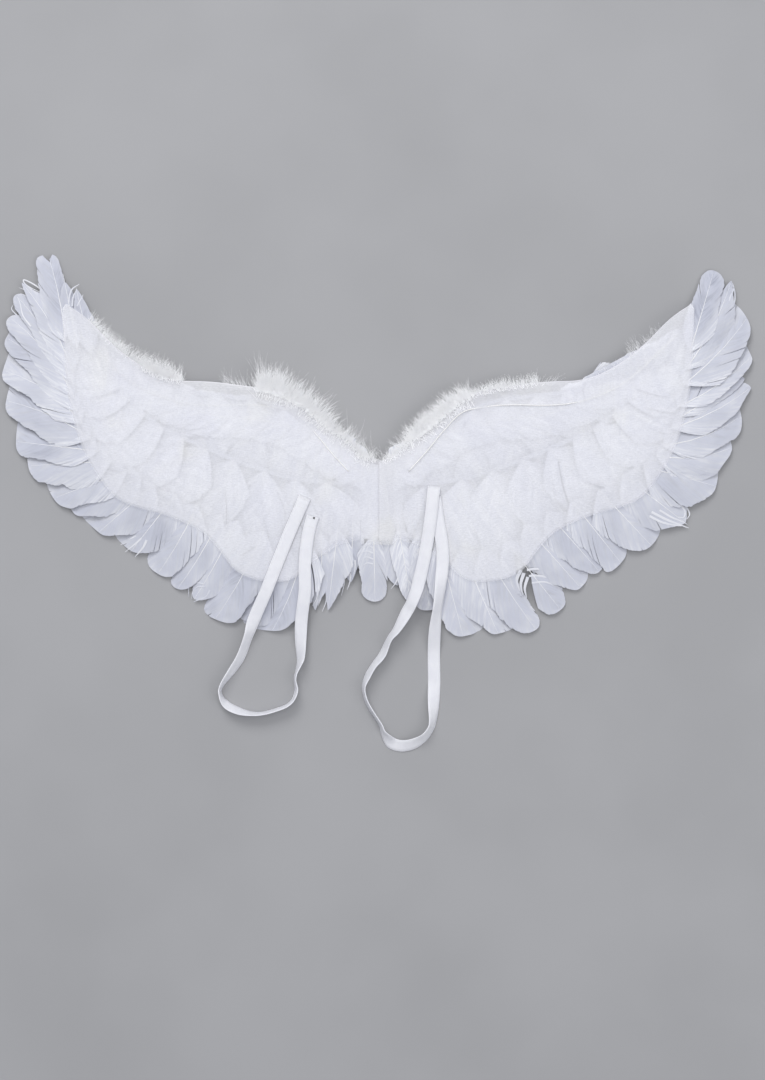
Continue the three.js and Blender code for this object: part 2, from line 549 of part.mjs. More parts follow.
// A stretch of down trim: a soft core under the sheet's top edge, with locks all along it.
function downTrim(trim) {
  const radius = trim.core * DOWN_CORE_RADIUS;
  const height = SHEET_BASE - CLEARANCE - radius;
  const first = trim.from * SHEET_REACH;
  const last = trim.to * SHEET_REACH;
  const placeAt = (share) => {
    const x = first + share * (last - first);
    const slope = (sheetEdge('high', x + radius) - sheetEdge('high', x - radius)) / (2 * radius);
    const outward = new THREE.Vector3(-slope, 1, 0).normalize();
    const centre = new THREE.Vector3(x, sheetEdge('high', x), height);
    return { centre: centre.addScaledVector(outward, radius / 2), outward };
  };
  const steps = Math.round((last - first) / CORE_STEP);
  const rings = [];
  for (let step = 0; step <= steps; step += 1) {
    const { centre, outward } = placeAt(step / steps);
    const ring = [];
    for (let side = 0; side < CORE_SIDES; side += 1) {
      const angle = 2 * Math.PI * (side + 0.5) / CORE_SIDES;
      const point = centre.clone().addScaledVector(outward, radius * Math.sin(angle));
      point.z += radius * Math.cos(angle);
      ring.push(point);
    }
    rings.push(ring);
  }
  let joined = solidFrom(loft(rings));
  for (let index = 0; index < trim.locks; index += 1) {
    const share = (index + 0.5) / trim.locks;
    const { centre, outward } = placeAt(share);
    const seed = index + trim.locks;
    const lean = LOCK_LEAN * (scatter(seed) - 0.5);
    const heading = outward.clone().applyAxisAngle(new THREE.Vector3(0, 0, 1), lean);
    const longest = DOWN_LENGTH * THREE.MathUtils.lerp(trim.near, trim.far, share);
    const length = longest * (1 - LOCK_SCATTER * scatter(2 * seed));
    const rise = LOCK_RISES[index % LOCK_RISES.length];
    joined = joined.add(solidFrom(downLock(centre, heading, length, rise)));
  }
  return onSide(geometryFrom(joined), trim.side);
}

// The single small feather that hangs below the seam.
function centreFeather() {
  const tip = new THREE.Vector2(CENTRE_FEATHER_TIP.x * SHEET_REACH, CENTRE_FEATHER_TIP.y * SHEET_RISE);
  const run = new THREE.Vector2(CENTRE_FEATHER_LEAN, 1).multiplyScalar(CENTRE_FEATHER_LENGTH);
  const root = tip.clone().add(run);
  return facingOut(feather({ root, tip, width: CENTRE_FEATHER_WIDTH }));
}

const wings = new THREE.Group();

function addPiece(name, geometry, colour) {
  const material = new THREE.MeshStandardMaterial({ color: colour, roughness: 0.9, metalness: 0 });
  const mesh = new THREE.Mesh(geometry, material);
  mesh.name = name;
  wings.add(mesh);
}

for (const [wing, side] of [['left', -1], ['right', 1]]) {
  const primaries = side < 0 ? LEFT_PRIMARIES : RIGHT_PRIMARIES;
  const route = side < 0 ? LEFT_STRAP_ROUTE : RIGHT_STRAP_ROUTE;
  addPiece(`${wing}_backing`, backingSheet(side), COLOURS.sheet);
  addPiece(`${wing}_edge_wire`, edgeWire(side), COLOURS.wire);
  addPiece(`${wing}_strap`, strap(route, side), COLOURS.elastic);
  addPiece(`${wing}_middle_feathers`, featherRow(MIDDLE_ROW, side), COLOURS.feather);
  addPiece(`${wing}_upper_feathers`, featherRow(UPPER_ROW, side), COLOURS.feather);
  primaries.forEach((entry, index) => {
    const number = String(index + 1).padStart(2, '0');
    addPiece(`${wing}_primary_${number}`, primaryFeather(entry, side), COLOURS.feather);
  });
}
DOWN_TRIMS.forEach((trim) => addPiece(trim.name, downTrim(trim), COLOURS.down));
addPiece('centre_feather', centreFeather(), COLOURS.feather);

export default wings;
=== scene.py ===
"""White feather angel wings with elastic shoulder loops, lying on their feathered front.

Metres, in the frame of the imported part: +Z up, +X to the right wing's tip, +Y to the top of the
wings. Each outer feather takes its line, width and droop from its solid in the frame.
"""
import math
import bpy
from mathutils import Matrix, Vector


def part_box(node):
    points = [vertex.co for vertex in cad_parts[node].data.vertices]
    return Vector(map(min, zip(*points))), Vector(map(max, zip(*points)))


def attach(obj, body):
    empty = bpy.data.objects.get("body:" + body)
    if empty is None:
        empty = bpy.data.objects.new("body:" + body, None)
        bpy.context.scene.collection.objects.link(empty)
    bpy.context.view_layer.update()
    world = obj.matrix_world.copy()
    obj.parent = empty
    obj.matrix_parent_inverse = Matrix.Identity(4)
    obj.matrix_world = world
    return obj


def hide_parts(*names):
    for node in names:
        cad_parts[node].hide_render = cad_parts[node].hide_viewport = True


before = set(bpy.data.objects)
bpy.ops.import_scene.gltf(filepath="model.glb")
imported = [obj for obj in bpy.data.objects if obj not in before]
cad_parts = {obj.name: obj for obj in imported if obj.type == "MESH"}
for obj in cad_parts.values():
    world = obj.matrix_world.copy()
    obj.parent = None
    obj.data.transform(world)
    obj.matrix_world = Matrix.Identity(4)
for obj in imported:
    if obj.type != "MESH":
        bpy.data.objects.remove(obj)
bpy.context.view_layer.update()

import zlib

import bmesh
import bpy
import numpy as np
from mathutils import Vector

MM = 0.001
UP = np.array([0.0, 0.0, 1.0])
WINGS = (("left", -1), ("right", 1))
PHOTO_MIDDLE = (378.5, 504.0)  # where the frame's origin is in the photo, one millimetre a pixel

# Sizes of the pieces that the solids don't hold, in millimetres
BARB_LOCK_WIDTH = 2.1
BARB_LOCK_THICKNESS = 0.22
SHAFT_ROOT_RADIUS = 0.7
SHAFT_TIP_RADIUS = 0.12
SHEET_THICKNESS = 0.3
STRAP_WIDTH = 12.5
STRAP_THICKNESS = 1.1
WIRE_RADIUS = 0.5
DOWN_BARBULE_LENGTH = 2.6
DOWN_BARBULE_RADIUS = 0.06


def seeded(name):
    """A repeatable random generator for a piece."""
    return np.random.default_rng(zlib.crc32(name.encode()))


def in_frame(places):
    """The frame's x and y of places in the photo."""
    places = np.asarray(places, float)
    return np.stack([places[..., 0] - PHOTO_MIDDLE[0], PHOTO_MIDDLE[1] - places[..., 1]], -1) * MM


def unit(vectors):
    return vectors / np.linalg.norm(vectors, axis=-1, keepdims=True)


def square_to(directions):
    """Directions in plan, turned to the left by a quarter of a turn."""
    return np.stack([-directions[..., 1], directions[..., 0]], -1)


def eased(values):
    """Smoothstep of values from 0 to 1."""
    values = np.clip(values, 0, 1)
    return values * values * (3 - 2 * values)


def smooth_through(xs, ys, at):
    """A monotone cubic through the points (xs, ys), read at the places in at."""
    xs, ys, at = (np.asarray(values, float) for values in (xs, ys, at))
    step = np.diff(xs)
    rise = np.diff(ys) / step
    slope = np.concatenate([rise[:1], np.zeros(len(xs) - 2), rise[-1:]])
    same_way = rise[:-1] * rise[1:] > 0
    both = rise[:-1] + rise[1:]
    slope[1:-1][same_way] = (2 * rise[:-1] * rise[1:])[same_way] / both[same_way]
    place = np.clip(np.searchsorted(xs, at) - 1, 0, len(xs) - 2)
    share = np.clip((at - xs[place]) / step[place], 0, 1)
    start = ys[place] * (1 + 2 * share) + slope[place] * step[place] * share
    end = ys[place + 1] * (3 - 2 * share) - slope[place + 1] * step[place] * (1 - share)
    return start * (1 - share) ** 2 + end * share ** 2


def curve_through(points, per_span):
    """A Catmull-Rom curve through points, with per_span steps between two of them."""
    points = np.asarray(points, float)
    padded = np.vstack([2 * points[0] - points[1], points, 2 * points[-1] - points[-2]])
    steps = np.arange(per_span)[:, None] / per_span
    spans = []
    for span in range(len(points) - 1):
        before, start, end, after = padded[span:span + 4]
        spans.append(0.5 * (2 * start + (end - before) * steps
                            + (2 * before - 5 * start + 4 * end - after) * steps ** 2
                            + (3 * start - before - 3 * end + after) * steps ** 3))
    return np.vstack([*spans, points[-1:]])


def circle(corners):
    """The sideways and upward parts of a circle's corners."""
    turns = np.linspace(0, 2 * math.pi, corners, endpoint=False)
    return np.column_stack([np.cos(turns), np.sin(turns)])


def swept(line, section, width, height):
    """Rings along a line: a section's sideways part times width, its upward part times height."""
    section = np.asarray(section, float)
    sideways = np.pad(square_to(unit(np.gradient(line[:, :2], axis=0))), ((0, 0), (0, 1)))
    upward = np.broadcast_to(height * UP, line.shape)
    out = section[:, :1] * (width * sideways)[:, None]
    return line[:, None] + out + section[:, 1:] * upward[:, None]


def side_faces(steps, corners):
    """The faces between rings of corners."""
    ring = np.arange(steps - 1)[:, None] * corners
    start = ring + np.arange(corners)
    end = ring + (np.arange(corners) + 1) % corners
    return np.stack([start, end, end + corners, start + corners], -1).reshape(-1, 4)


class Shape:
    """Points, faces and named point values of a piece, gathered part by part."""

    def __init__(self, *names):
        self.points = []
        self.faces = []
        self.values = {name: [] for name in names}
        self.count = 0

    def add(self, points, faces, **values):
        self.points.append(points.reshape(-1, 3))
        self.faces += [group + self.count for group in faces]
        for name, kept in self.values.items():
            kept.append(np.broadcast_to(values.get(name, 0.0), points.shape[:-1]).ravel())
        self.count += points.size // 3

    def tubes(self, rings, **values):
        """Closed tubes from an array of points: tube, ring, corner, coordinate."""
        tubes, steps, corners = rings.shape[:3]
        corner = np.arange(corners)
        caps = np.stack([corner[::-1], (steps - 1) * corners + corner])
        offset = np.arange(tubes)[:, None, None] * steps * corners
        sides = (offset + side_faces(steps, corners)).reshape(-1, 4)
        self.add(rings, [sides, (offset + caps).reshape(-1, corners)], **values)

    def slab(self, rings, **values):
        """A closed slab from rings that run along its top and back along its bottom."""
        steps, corners = rings.shape[:2]
        half = np.arange(corners // 2 - 1)
        closing = np.column_stack([half, corners - 1 - half, corners - 2 - half, half + 1])
        faces = [side_faces(steps, corners), closing, closing[:, ::-1] + (steps - 1) * corners]
        self.add(rings, faces, **values)

    def make(self, name, material, smooth=False):
        mesh = bpy.data.meshes.new(name)
        points = np.concatenate(self.points)
        corners = np.concatenate([group.ravel() for group in self.faces])
        sizes = np.concatenate([np.full(len(group), group.shape[1]) for group in self.faces])
        mesh.vertices.add(len(points))
        mesh.vertices.foreach_set("co", points.astype(np.float32).ravel())
        mesh.loops.add(len(corners))
        mesh.loops.foreach_set("vertex_index", corners.astype(np.int32))
        mesh.polygons.add(len(sizes))
        mesh.polygons.foreach_set("loop_start", (np.cumsum(sizes) - sizes).astype(np.int32))
        mesh.update(calc_edges=True)
        for value, kept in self.values.items():
            attribute = mesh.attributes.new(value, "FLOAT", "POINT")
            attribute.data.foreach_set("value", np.concatenate(kept).astype(np.float32))
        work = bmesh.new()
        work.from_mesh(mesh)
        bmesh.ops.recalc_face_normals(work, faces=work.faces)
        work.to_mesh(mesh)
        work.free()
        mesh.polygons.foreach_set("use_smooth", np.full(len(mesh.polygons), smooth))
        mesh.materials.append(material)
        piece = bpy.data.objects.new(name, mesh)
        bpy.context.scene.collection.objects.link(piece)
        return piece


def place(piece, slot, *nodes):
    """Puts a finished piece on the frame, in the place of its solids."""
    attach(piece, "root")
    if nodes:
        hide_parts(*nodes)
    return piece


# Materials


class Finish:
    """A procedural material, and short calls that add and join its nodes."""

    def __init__(self, name, **sockets):
        self.material = bpy.data.materials.new(name)
        self.material.use_nodes = True
        self.tree = self.material.node_tree
        self.shader = self.tree.nodes["Principled BSDF"]
        self.fill(self.shader, sockets)

    def fill(self, node, inputs):
        """Gives inputs of a node their values, or joins them to the sockets that these come from."""
        for name, value in inputs.items():
            if isinstance(value, bpy.types.NodeSocket):
                self.tree.links.new(value, node.inputs[name])
            else:
                node.inputs[name].default_value = value

    def node(self, kind, inputs, output=0, **settings):
        node = self.tree.nodes.new(kind)
        for setting, value in settings.items():
            setattr(node, setting, value)
        self.fill(node, inputs)
        return node.outputs[output]

    def value(self, name):
        return self.node("ShaderNodeAttribute", {}, "Fac", attribute_name=name)

    def spot(self, **changes):
        """The place on the object, which changes may scale, turn and move."""
        spot = self.node("ShaderNodeTexCoord", {}, "Object")
        return self.node("ShaderNodeMapping", {"Vector": spot, **changes}) if changes else spot

    def maths(self, operation, first, second=0.0, clamp=False):
        return self.node("ShaderNodeMath", {0: first, 1: second}, operation=operation, use_clamp=clamp)

    def times(self, first, second):
        return self.maths("MULTIPLY", first, second)

    def plus(self, first, second):
        return self.maths("ADD", first, second)

    def vector(self, x=0.0, y=0.0, z=0.0):
        return self.node("ShaderNodeCombineXYZ", {0: x, 1: y, 2: z})

    def noise(self, vector, scale, detail=2.0, roughness=0.5):
        inputs = {"Vector": vector, "Scale": scale, "Detail": detail, "Roughness": roughness}
        return self.node("ShaderNodeTexNoise", inputs, "Fac")

    def between(self, value, low, high, to_low=0.0, to_high=1.0):
        inputs = {0: value, 1: low, 2: high, 3: to_low, 4: to_high}
        return self.node("ShaderNodeMapRange", inputs, interpolation_type="SMOOTHSTEP")

    def mix(self, share, *colours):
        """A colour between two, each given as a socket or as red, green and blue."""
        first, second = ((*colour, 1.0) if isinstance(colour, tuple) else colour for colour in colours)
        return self.node("ShaderNodeMix", {0: share, 6: first, 7: second}, 2, data_type="RGBA")

    def tint(self, base, colour, value, *limits):
        """base with a share of a colour, which follows a value between limits."""
        return self.mix(self.between(value, *limits), base, colour)

    def finish(self, colour, height, distance, strength):
        """Sets the colour and the relief, and gives the material."""
        relief = {"Height": height, "Distance": distance, "Strength": strength}
        self.fill(self.shader, {"Base Color": colour, "Normal": self.node("ShaderNodeBump", relief)})
        return self.material


def feather_material():
    """Vane with soft streaks along its barbs, greyed by painted shade towards its tip and lighter along
    its edges by painted light, on a smooth ivory shaft.
    """
    look = Finish("feather_vane", Roughness=0.66, IOR=1.42)
    edge = look.value("edge")
    tone = look.value("tone")
    across_barbs = look.value("barb")
    wide = look.noise(look.vector(look.times(across_barbs, 0.32), edge, tone), 1.0, 3.0, 0.6)
    fine = look.noise(look.vector(look.times(across_barbs, 1.3), edge, tone), 1.0)
    patches = look.noise(look.spot(), 34.0)
    # painted shade: this value greys the white vane towards blue-grey, most at the tip
    body = look.mix(look.value("shade"), (0.93, 0.932, 0.955), (0.30, 0.315, 0.39))
    toned = look.mix(look.times(tone, 0.35), body, (0.90, 0.905, 0.93))
    clouded = look.tint(toned, (0.93, 0.93, 0.945), patches, 0.35, 0.7, 0.0, 0.3)
    # painted light: the vane is lighter towards its edges
    edge_lit = look.tint(clouded, (0.95, 0.952, 0.965), edge, 0.62, 1.0, 0.0, 0.22)
    streaked = look.tint(edge_lit, (0.54, 0.555, 0.64), wide, 0.38, 0.64, 0.66, 0.0)
    lined = look.tint(streaked, (0.58, 0.60, 0.68), fine, 0.34, 0.66, 0.4, 0.0)
    colour = look.mix(look.times(look.value("shaft"), 0.65), lined, (0.93, 0.925, 0.90))
    return look.finish(colour, look.plus(fine, wide), 0.00012, 0.6)


def down_material():
    look = Finish("white_down", Roughness=0.8)
    strand = look.mix(look.value("along"), (0.97, 0.972, 0.98), (0.99, 0.99, 0.995))
    clumps = look.noise(look.spot(), 120.0)
    colour = look.tint(strand, (0.90, 0.905, 0.94), clumps, 0.3, 0.7, 0.0, 0.25)
    look.fill(look.shader, {"Base Color": colour})
    return look.material


def sheet_material():
    """Sheer nonwoven cloth: random fibres, soft cream patches, painted shade along the feathers under it,
    and a slightly see-through body.
    """
    look = Finish("sheer_nonwoven_cloth", Roughness=0.72)
    fibres = look.noise(look.spot(), 900.0, 4.0, 0.7)
    drawn_out = look.spot(Scale=(260.0, 900.0, 1.0), Rotation=(0.0, 0.0, 0.6))
    long_fibres = look.noise(drawn_out, 1.0, 3.0, 0.6)
    clouds = look.noise(look.spot(), 14.0, 3.0)
    lane = look.times(look.value("lane"), 3.4)
    along = look.times(look.value("along"), 16.0)
    under_feather_lanes = look.noise(look.vector(lane, along), 1.0, 4.0, 0.6)
    cream = look.noise(look.spot(Location=(0.07, 0.03, 0.0)), 21.0, 1.0)
    white = look.mix(look.between(clouds, 0.3, 0.7), (0.94, 0.942, 0.985), (0.972, 0.974, 1.0))
    warm = look.tint(white, (0.975, 0.968, 0.935), cream, 0.6, 0.78, 0.0, 0.5)
    # painted shade: the cloth is darker along the lanes of the feathers lying under it
    lane_shaded = look.tint(warm, (0.86, 0.865, 0.925), under_feather_lanes, 0.34, 0.62, 0.42, 0.0)
    colour = look.tint(lane_shaded, (0.99, 0.99, 0.995), fibres, 0.3, 0.7, 0.0, 0.06)
    cover = look.between(look.plus(fibres, long_fibres), 0.7, 1.3, 0.36, 0.46)
    thinned = look.maths("SUBTRACT", cover, look.times(look.value("rim"), 0.28))
    look.fill(look.shader, {"Alpha": look.maths("MAXIMUM", thinned, look.value("hem"), clamp=True)})
    relief = look.plus(look.plus(fibres, long_fibres), look.times(under_feather_lanes, 14.0))
    return look.finish(colour, relief, 0.00006, 0.5)


def elastic_material():
    """Woven elastic: fine ribs across it and rubber cords along it."""
    look = Finish("white_elastic", Roughness=0.62)
    rib_spacing, cords_across = 0.9, 18
    ribs = look.maths("SINE", look.times(look.value("along"), 2 * math.pi / rib_spacing))
    cords = look.maths("SINE", look.times(look.value("across"), math.pi * cords_across))
    weave = look.times(ribs, cords)
    wear = look.noise(look.spot(), 90.0, 3.0)
    base = look.mix(look.between(wear, 0.3, 0.7), (0.875, 0.878, 0.925), (0.915, 0.917, 0.955))
    colour = look.tint(base, (0.72, 0.73, 0.79), weave, -1.0, 1.0, 0.14, 0.0)
    return look.finish(colour, look.plus(weave, look.times(ribs, 0.5)), 0.00013, 0.8)


def plain_material(name, tone, roughness, grain):
    look = Finish(name, Roughness=roughness)
    texture = look.noise(look.spot(), grain, 3.0)
    darker = tuple(0.86 * part for part in tone)
    return look.finish(look.tint(tone, darker, texture, 0.3, 0.7, 0.0, 0.6), texture, 0.0001, 0.5)


FEATHER = feather_material()
DOWN = down_material()
CLOTH = sheet_material()
ELASTIC = elastic_material()
WIRE = plain_material("covered_wire", (0.96, 0.955, 0.93), 0.45, 700.0)
THREAD = plain_material("sewing_thread", (0.88, 0.88, 0.89), 0.7, 2500.0)
TACK = plain_material("dark_tack", (0.09, 0.085, 0.09), 0.5, 900.0)


# Feathers

# Shares of a feather's length where its solid is measured, and those its tilt and camber come from
SECTIONS = (0.002, 0.08, 0.16, 0.26, 0.36, 0.48, 0.6, 0.72, 0.82, 0.88, 0.94, 0.998)
MIDDLE_SECTIONS = slice(4, 9)
END_BAND = 1.5 * MM  # how near its end a feather's last section is looked for
LEVEL_BAND = 0.03 * MM  # how near a place the heights of a section are looked for
SOLID_WIDTH_TO = 0.8  # the tip of a solid is narrower than the vane
ROUND_TO = 1.012  # a little past the solid's end, so that the rounded tip reaches it
BARB_SWEEP = 1.9  # how far a barb runs forward for each millimetre outward
BARB_BEND = 0.34
LAST_BARB = 0.985
VANE_FROM = 0.1
BASE_WIDTH = 1.22  # of the solid's full width, just outside the cloth's edge
TIP_WIDTH = 0.8
BASE_GROWTH = 0.24
NARROW_FROM, NARROW_OVER = 0.4, 0.45
NEIGHBOUR_SHARE = 0.8  # the place on a feather that its neighbour's vane reaches towards
NEIGHBOUR_COVER = 0.74
MOST_WIDENING = 1.95
OWN_WIDTH_FROM, OWN_WIDTH_OVER = 0.68, 0.3
SKEW_FROM, SKEW_OVER = 0.5, 0.4
# Painted shade on the outer feathers: where along a feather it begins to grow and over how much of its
# length, its amount at the base, and the usual range of what the tip adds
SHADE_FROM, SHADE_OVER = 0.3, 0.45
BASE_PAINTED_SHADE = 0.24
USUAL_PAINTED_SHADES = (0.4, 0.76)  # what the tip adds to it
CROWN = 1.3 * MM  # how far the middle of a vane stands above its edges
LEAST_HEIGHT = 0.2 * MM

# The four corners of a barb lock: places along the vane's outline as shares of the lock's width,
# heights as shares of its thickness, and how much shorter each is
LOCK_OFFSETS = np.array([-0.5, 0.0, 0.5, 0.0])
LOCK_LEVELS = np.array([0.0, 0.5, 0.0, -0.5])
LOCK_SHORTER = np.array([0.02, 0.0, 0.02, 0.0])
LOCK_STEPS = np.linspace(0, 1, 6)[:, None]
ROOT_SPREAD, END_SPREAD = 2.3, 1.7  # how far a lock overlaps the next
LOCK_TAPER = 0.55
SIDE_APART = 50  # so that the streaks of the two sides don't match
SPLIT_SHAFT = 0.93  # how far a shaft reaches where the tip is split
# How irregular the locks of a vane are. They hang together in tufts. Lengths are shares of a lock's
# own length, and lifts and pushes are in millimetres.
LOCK_SHIFT = 0.2  # of the distance between two locks
TUFT_BREAK = 0.28  # the share of locks that start a new tuft
EDGE_WAVE, EDGE_WAVELENGTHS = 0.022, (7 * MM, 26 * MM)
LENGTH_SPREAD = 0.018
BROKEN_LOCKS, BROKEN_OFF = 0.08, 0.07
TUFT_SHORTER = (-0.03, 0.04)  # mean and spread
TUFT_LIFTS, LOCK_LIFTS = (-0.1, 0.25), (-0.04, 0.04)
TUFT_PUSH, LOCK_PUSH = 0.14, 0.08


class Blade:
    """Line, width and heights of a feather."""

    def __init__(self, root, tip, sections):
        """sections holds the middle, half width, height, tilt and camber at each of SECTIONS."""
        self.root = root
        self.length = np.linalg.norm(tip - root)
        self.axis = (tip - root) / self.length
        self.across = square_to(self.axis)
        self.bow, self.half, self.height, tilt, camber = np.array(sections).T
        self.tilt = np.median(tilt[MIDDLE_SECTIONS])
        self.camber = np.median(camber[MIDDLE_SECTIONS])
        self.widest = self.half.max()
        self.least = {1: 0.0, -1: 0.0}  # each side's least width at the base, as shape_tip's widths
        # painted shade that greys the vane, given by two values
        self.shade = (0.0, 0.0)  # at the base, and what the tip adds to it
        self.sparse = (1.0, 0.0, 0.0)  # from and to where barbs are gone, and the share left there

    def reach_towards(self, place):
        """Makes the vane at least wide enough on one side to meet a neighbour that lies there."""
        away = (place - self.root) @ self.across
        side = 1 if away > 0 else -1
        self.least[side] = min(NEIGHBOUR_COVER * abs(away) / self.widest, MOST_WIDENING)

    def shape_tip(self, round_from, roundness, plus_side=1.0, minus_side=1.0, reach=1.0, skew=0.0):
        """Gives the tip its form and the sides their widths, from a row of TIPS."""
        self.round_from = round_from
        self.roundness = roundness
        self.tip_sides = {1: plus_side, -1: minus_side}
        self.base_sides = {side: max(width, self.least[side]) for side, width in self.tip_sides.items()}
        self.round_to = ROUND_TO * reach
        self.skew = skew

    def width_at(self, share, side):
        """Half width of one side of the vane, full from near its base and rounded off at the tip."""
        solid = smooth_through(SECTIONS, self.half, np.minimum(share, SOLID_WIDTH_TO))
        narrowing = BASE_WIDTH + (TIP_WIDTH - BASE_WIDTH) * eased((share - NARROW_FROM) / NARROW_OVER)
        full = narrowing * self.widest * eased((share - VANE_FROM / 2) / BASE_GROWTH)
        turn = np.clip((share - self.round_from) / (self.round_to - self.round_from), 0, 1)
        rounded = (1 - turn ** self.roundness) ** (1 / self.roundness)
        base, tip = self.base_sides[side], self.tip_sides[side]
        own = base + (tip - base) * eased((share - OWN_WIDTH_FROM) / OWN_WIDTH_OVER)
        return own * np.maximum(solid, full) * rounded

    def at(self, along, sideways, lift=0.0):
        """World point of the vane at a distance from the root and from the shaft."""
        along = along - self.skew * sideways * eased((along / self.length - SKEW_FROM) / SKEW_OVER)
        share = np.clip(along / self.length, SECTIONS[0], SECTIONS[-1])
        middle = smooth_through(SECTIONS, self.bow, share)
        height = smooth_through(SECTIONS, self.height, share)
        plan = self.root + along[..., None] * self.axis + (middle + sideways)[..., None] * self.across
        crown = CROWN * (0.5 - (sideways / self.widest) ** 2)
        z = np.maximum(height + self.tilt * sideways + self.camber * sideways ** 2 + crown, LEAST_HEIGHT)
        return np.concatenate([plan, np.maximum(z + lift, LEAST_HEIGHT / 2)[..., None]], -1)


class Solid:
    """A feather's solid in the frame, which its line, width and heights are read from."""

    def __init__(self, node):
        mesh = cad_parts[node].data
        self.points = np.array([vertex.co for vertex in mesh.vertices])
        self.edges = np.array([edge.vertices[:] for edge in mesh.edges])
        plan = self.points[:, :2]
        self.axis = np.linalg.svd(plan - plan.mean(0))[2][0]
        for _ in range(2):
            across = square_to(self.axis)
            run = (plan - plan.mean(0)) @ self.axis
            ends = []
            for end in (run.min(), run.max()):
                near = plan[np.abs(run - end) < END_BAND]
                side = near @ across
                middle = (near @ self.axis).mean() * self.axis + (side.min() + side.max()) / 2 * across
                ends.append((np.ptp(side), middle))
            ends.sort(key=lambda end: end[0])
            self.root, self.tip = (middle for _, middle in ends)
            self.length = np.linalg.norm(self.tip - self.root)
            self.axis = (self.tip - self.root) / self.length

    def section(self, share):
        """Middle, half width, height, tilt and camber where an upright plane crosses the solid."""
        run = (self.points[:, :2] - self.root) @ self.axis / self.length - share
        first, second = self.edges[run[self.edges].prod(1) < 0].T
        weight = (run[first] / (run[first] - run[second]))[:, None]
        cut = self.points[first] + weight * (self.points[second] - self.points[first])
        side = (cut[:, :2] - self.root) @ square_to(self.axis)

        def level(at):
            heights = cut[np.abs(side - at) < LEVEL_BAND, 2]
            return (heights.min() + heights.max()) / 2

        low, high = side.min(), side.max()
        middle = side[np.argmin(np.abs(side - (low + high) / 2))]
        half = (high - low) / 2
        low_z, middle_z, high_z = level(low), level(middle), level(high)
        tilt = (high_z - low_z) / (2 * half)
        camber = ((low_z + high_z) / 2 - middle_z) / half ** 2
        return middle, half, middle_z, tilt, camber

    def blade(self):
        return Blade(self.root, self.tip, [self.section(share) for share in SECTIONS])


def waves(rng, at, shortest, longest):
    """Slow irregular values between about -1 and 1 at the places in at."""
    total = np.zeros_like(at)
    for _ in range(4):
        total += np.sin(2 * math.pi * (at / rng.uniform(shortest, longest) + rng.random()))
    return total / 2.5


def vane(shape, blade, side, rng, partings, lock_width, tone):
    """One side of a feather's vane, made of locks of barbs that sweep towards the tip."""
    rounding = np.sin(np.linspace(0, math.pi / 2, 40))[1:]
    shares = np.concatenate([np.linspace(VANE_FROM, blade.round_from, 60),
                             blade.round_from + (blade.round_to - blade.round_from) * rounding])
    along = shares * blade.length
    out = blade.width_at(shares, side)
    arc = np.concatenate([[0.0], np.cumsum(np.hypot(np.diff(along), np.diff(out)))])
    locks = max(8, int(round(arc[-1] / (lock_width * MM))))
    pitch = arc[-1] / locks
    centres = (np.arange(locks) + 0.5) * pitch
    centres[1:-1] += rng.uniform(-LOCK_SHIFT, LOCK_SHIFT, locks - 2) * pitch
    tuft = np.cumsum(rng.random(locks) < TUFT_BREAK)
    reach = 1 + EDGE_WAVE * waves(rng, centres, *EDGE_WAVELENGTHS) + rng.normal(0, LENGTH_SPREAD, locks)
    reach -= BROKEN_OFF * (rng.random(locks) < BROKEN_LOCKS)
    reach -= np.maximum(0, rng.normal(*TUFT_SHORTER, locks)[tuft])
    lift = (rng.uniform(*TUFT_LIFTS, locks)[tuft] + rng.uniform(*LOCK_LIFTS, locks)) * MM
    push = (TUFT_PUSH * rng.normal(0, 1, locks)[tuft] + rng.normal(0, LOCK_PUSH, locks)) * MM
    for place_at, width, opening in partings:
        away = (centres - place_at * arc[-1]) / (width * MM)
        push = push + np.sign(away) * opening / 2 * MM * np.exp(-np.abs(away))
    lock, share = centres[:, None, None], LOCK_STEPS
    spread = pitch * (ROOT_SPREAD + (END_SPREAD - ROOT_SPREAD) * share) * LOCK_OFFSETS
    at = np.clip(lock + spread + push[:, None, None] * share ** 2, 0, arc[-1])
    end_along = np.interp(at, arc, along)
    end_out = np.interp(at, arc, out) * (reach[:, None, None] - LOCK_SHORTER)
    start = np.clip(end_along - BARB_SWEEP * end_out, 0, blade.length * LAST_BARB)
    bend = start + BARB_BEND * (end_along - start)
    run = start * (1 - share) ** 2 + 2 * bend * share * (1 - share) + end_along * share ** 2
    thick = LOCK_LEVELS * BARB_LOCK_THICKNESS * MM * (1 - LOCK_TAPER * share)
    rings = blade.at(run, side * end_out * share, lift[:, None, None] * share ** 2 + thick)
    barb = (lock + pitch * LOCK_OFFSETS) / MM + SIDE_APART * side
    place_on = np.interp(centres, arc, shares)
    # painted shade, which grows towards the feather's tip
    shade = blade.shade[0] + blade.shade[1] * eased((place_on - SHADE_FROM) / SHADE_OVER)
    bare_from, bare_to, left_there = blade.sparse
    kept = (place_on < bare_from) | (place_on > bare_to) | (rng.random(locks)[tuft] < left_there)
    shape.tubes(rings[kept], edge=share, barb=barb[kept], tone=tone, shade=shade[kept, None, None])


def shaft(shape, blade, tone):
    """Round quill and tapering shaft along the middle of a feather, shorter where its tip is split."""
    shares = np.linspace(0, SPLIT_SHAFT if blade.sparse[1] > 1 else LAST_BARB, 26)[:, None]
    radius = (SHAFT_TIP_RADIUS + (SHAFT_ROOT_RADIUS - SHAFT_TIP_RADIUS) * (1 - shares) ** 1.2) * MM
    sideways, upward = circle(6).T
    rings = blade.at(shares * blade.length, radius * sideways, radius * upward)
    shape.tubes(rings[None], tone=tone, shaft=1.0)


def by_feather(left, right, **others):
    """A table with a row for each node, from rows by the outer feathers' numbers in each wing."""
    table = {f"left_primary_{number:02}": row for number, row in left.items()}
    table.update({f"right_primary_{number:02}": row for number, row in right.items()})
    return {**table, **others}


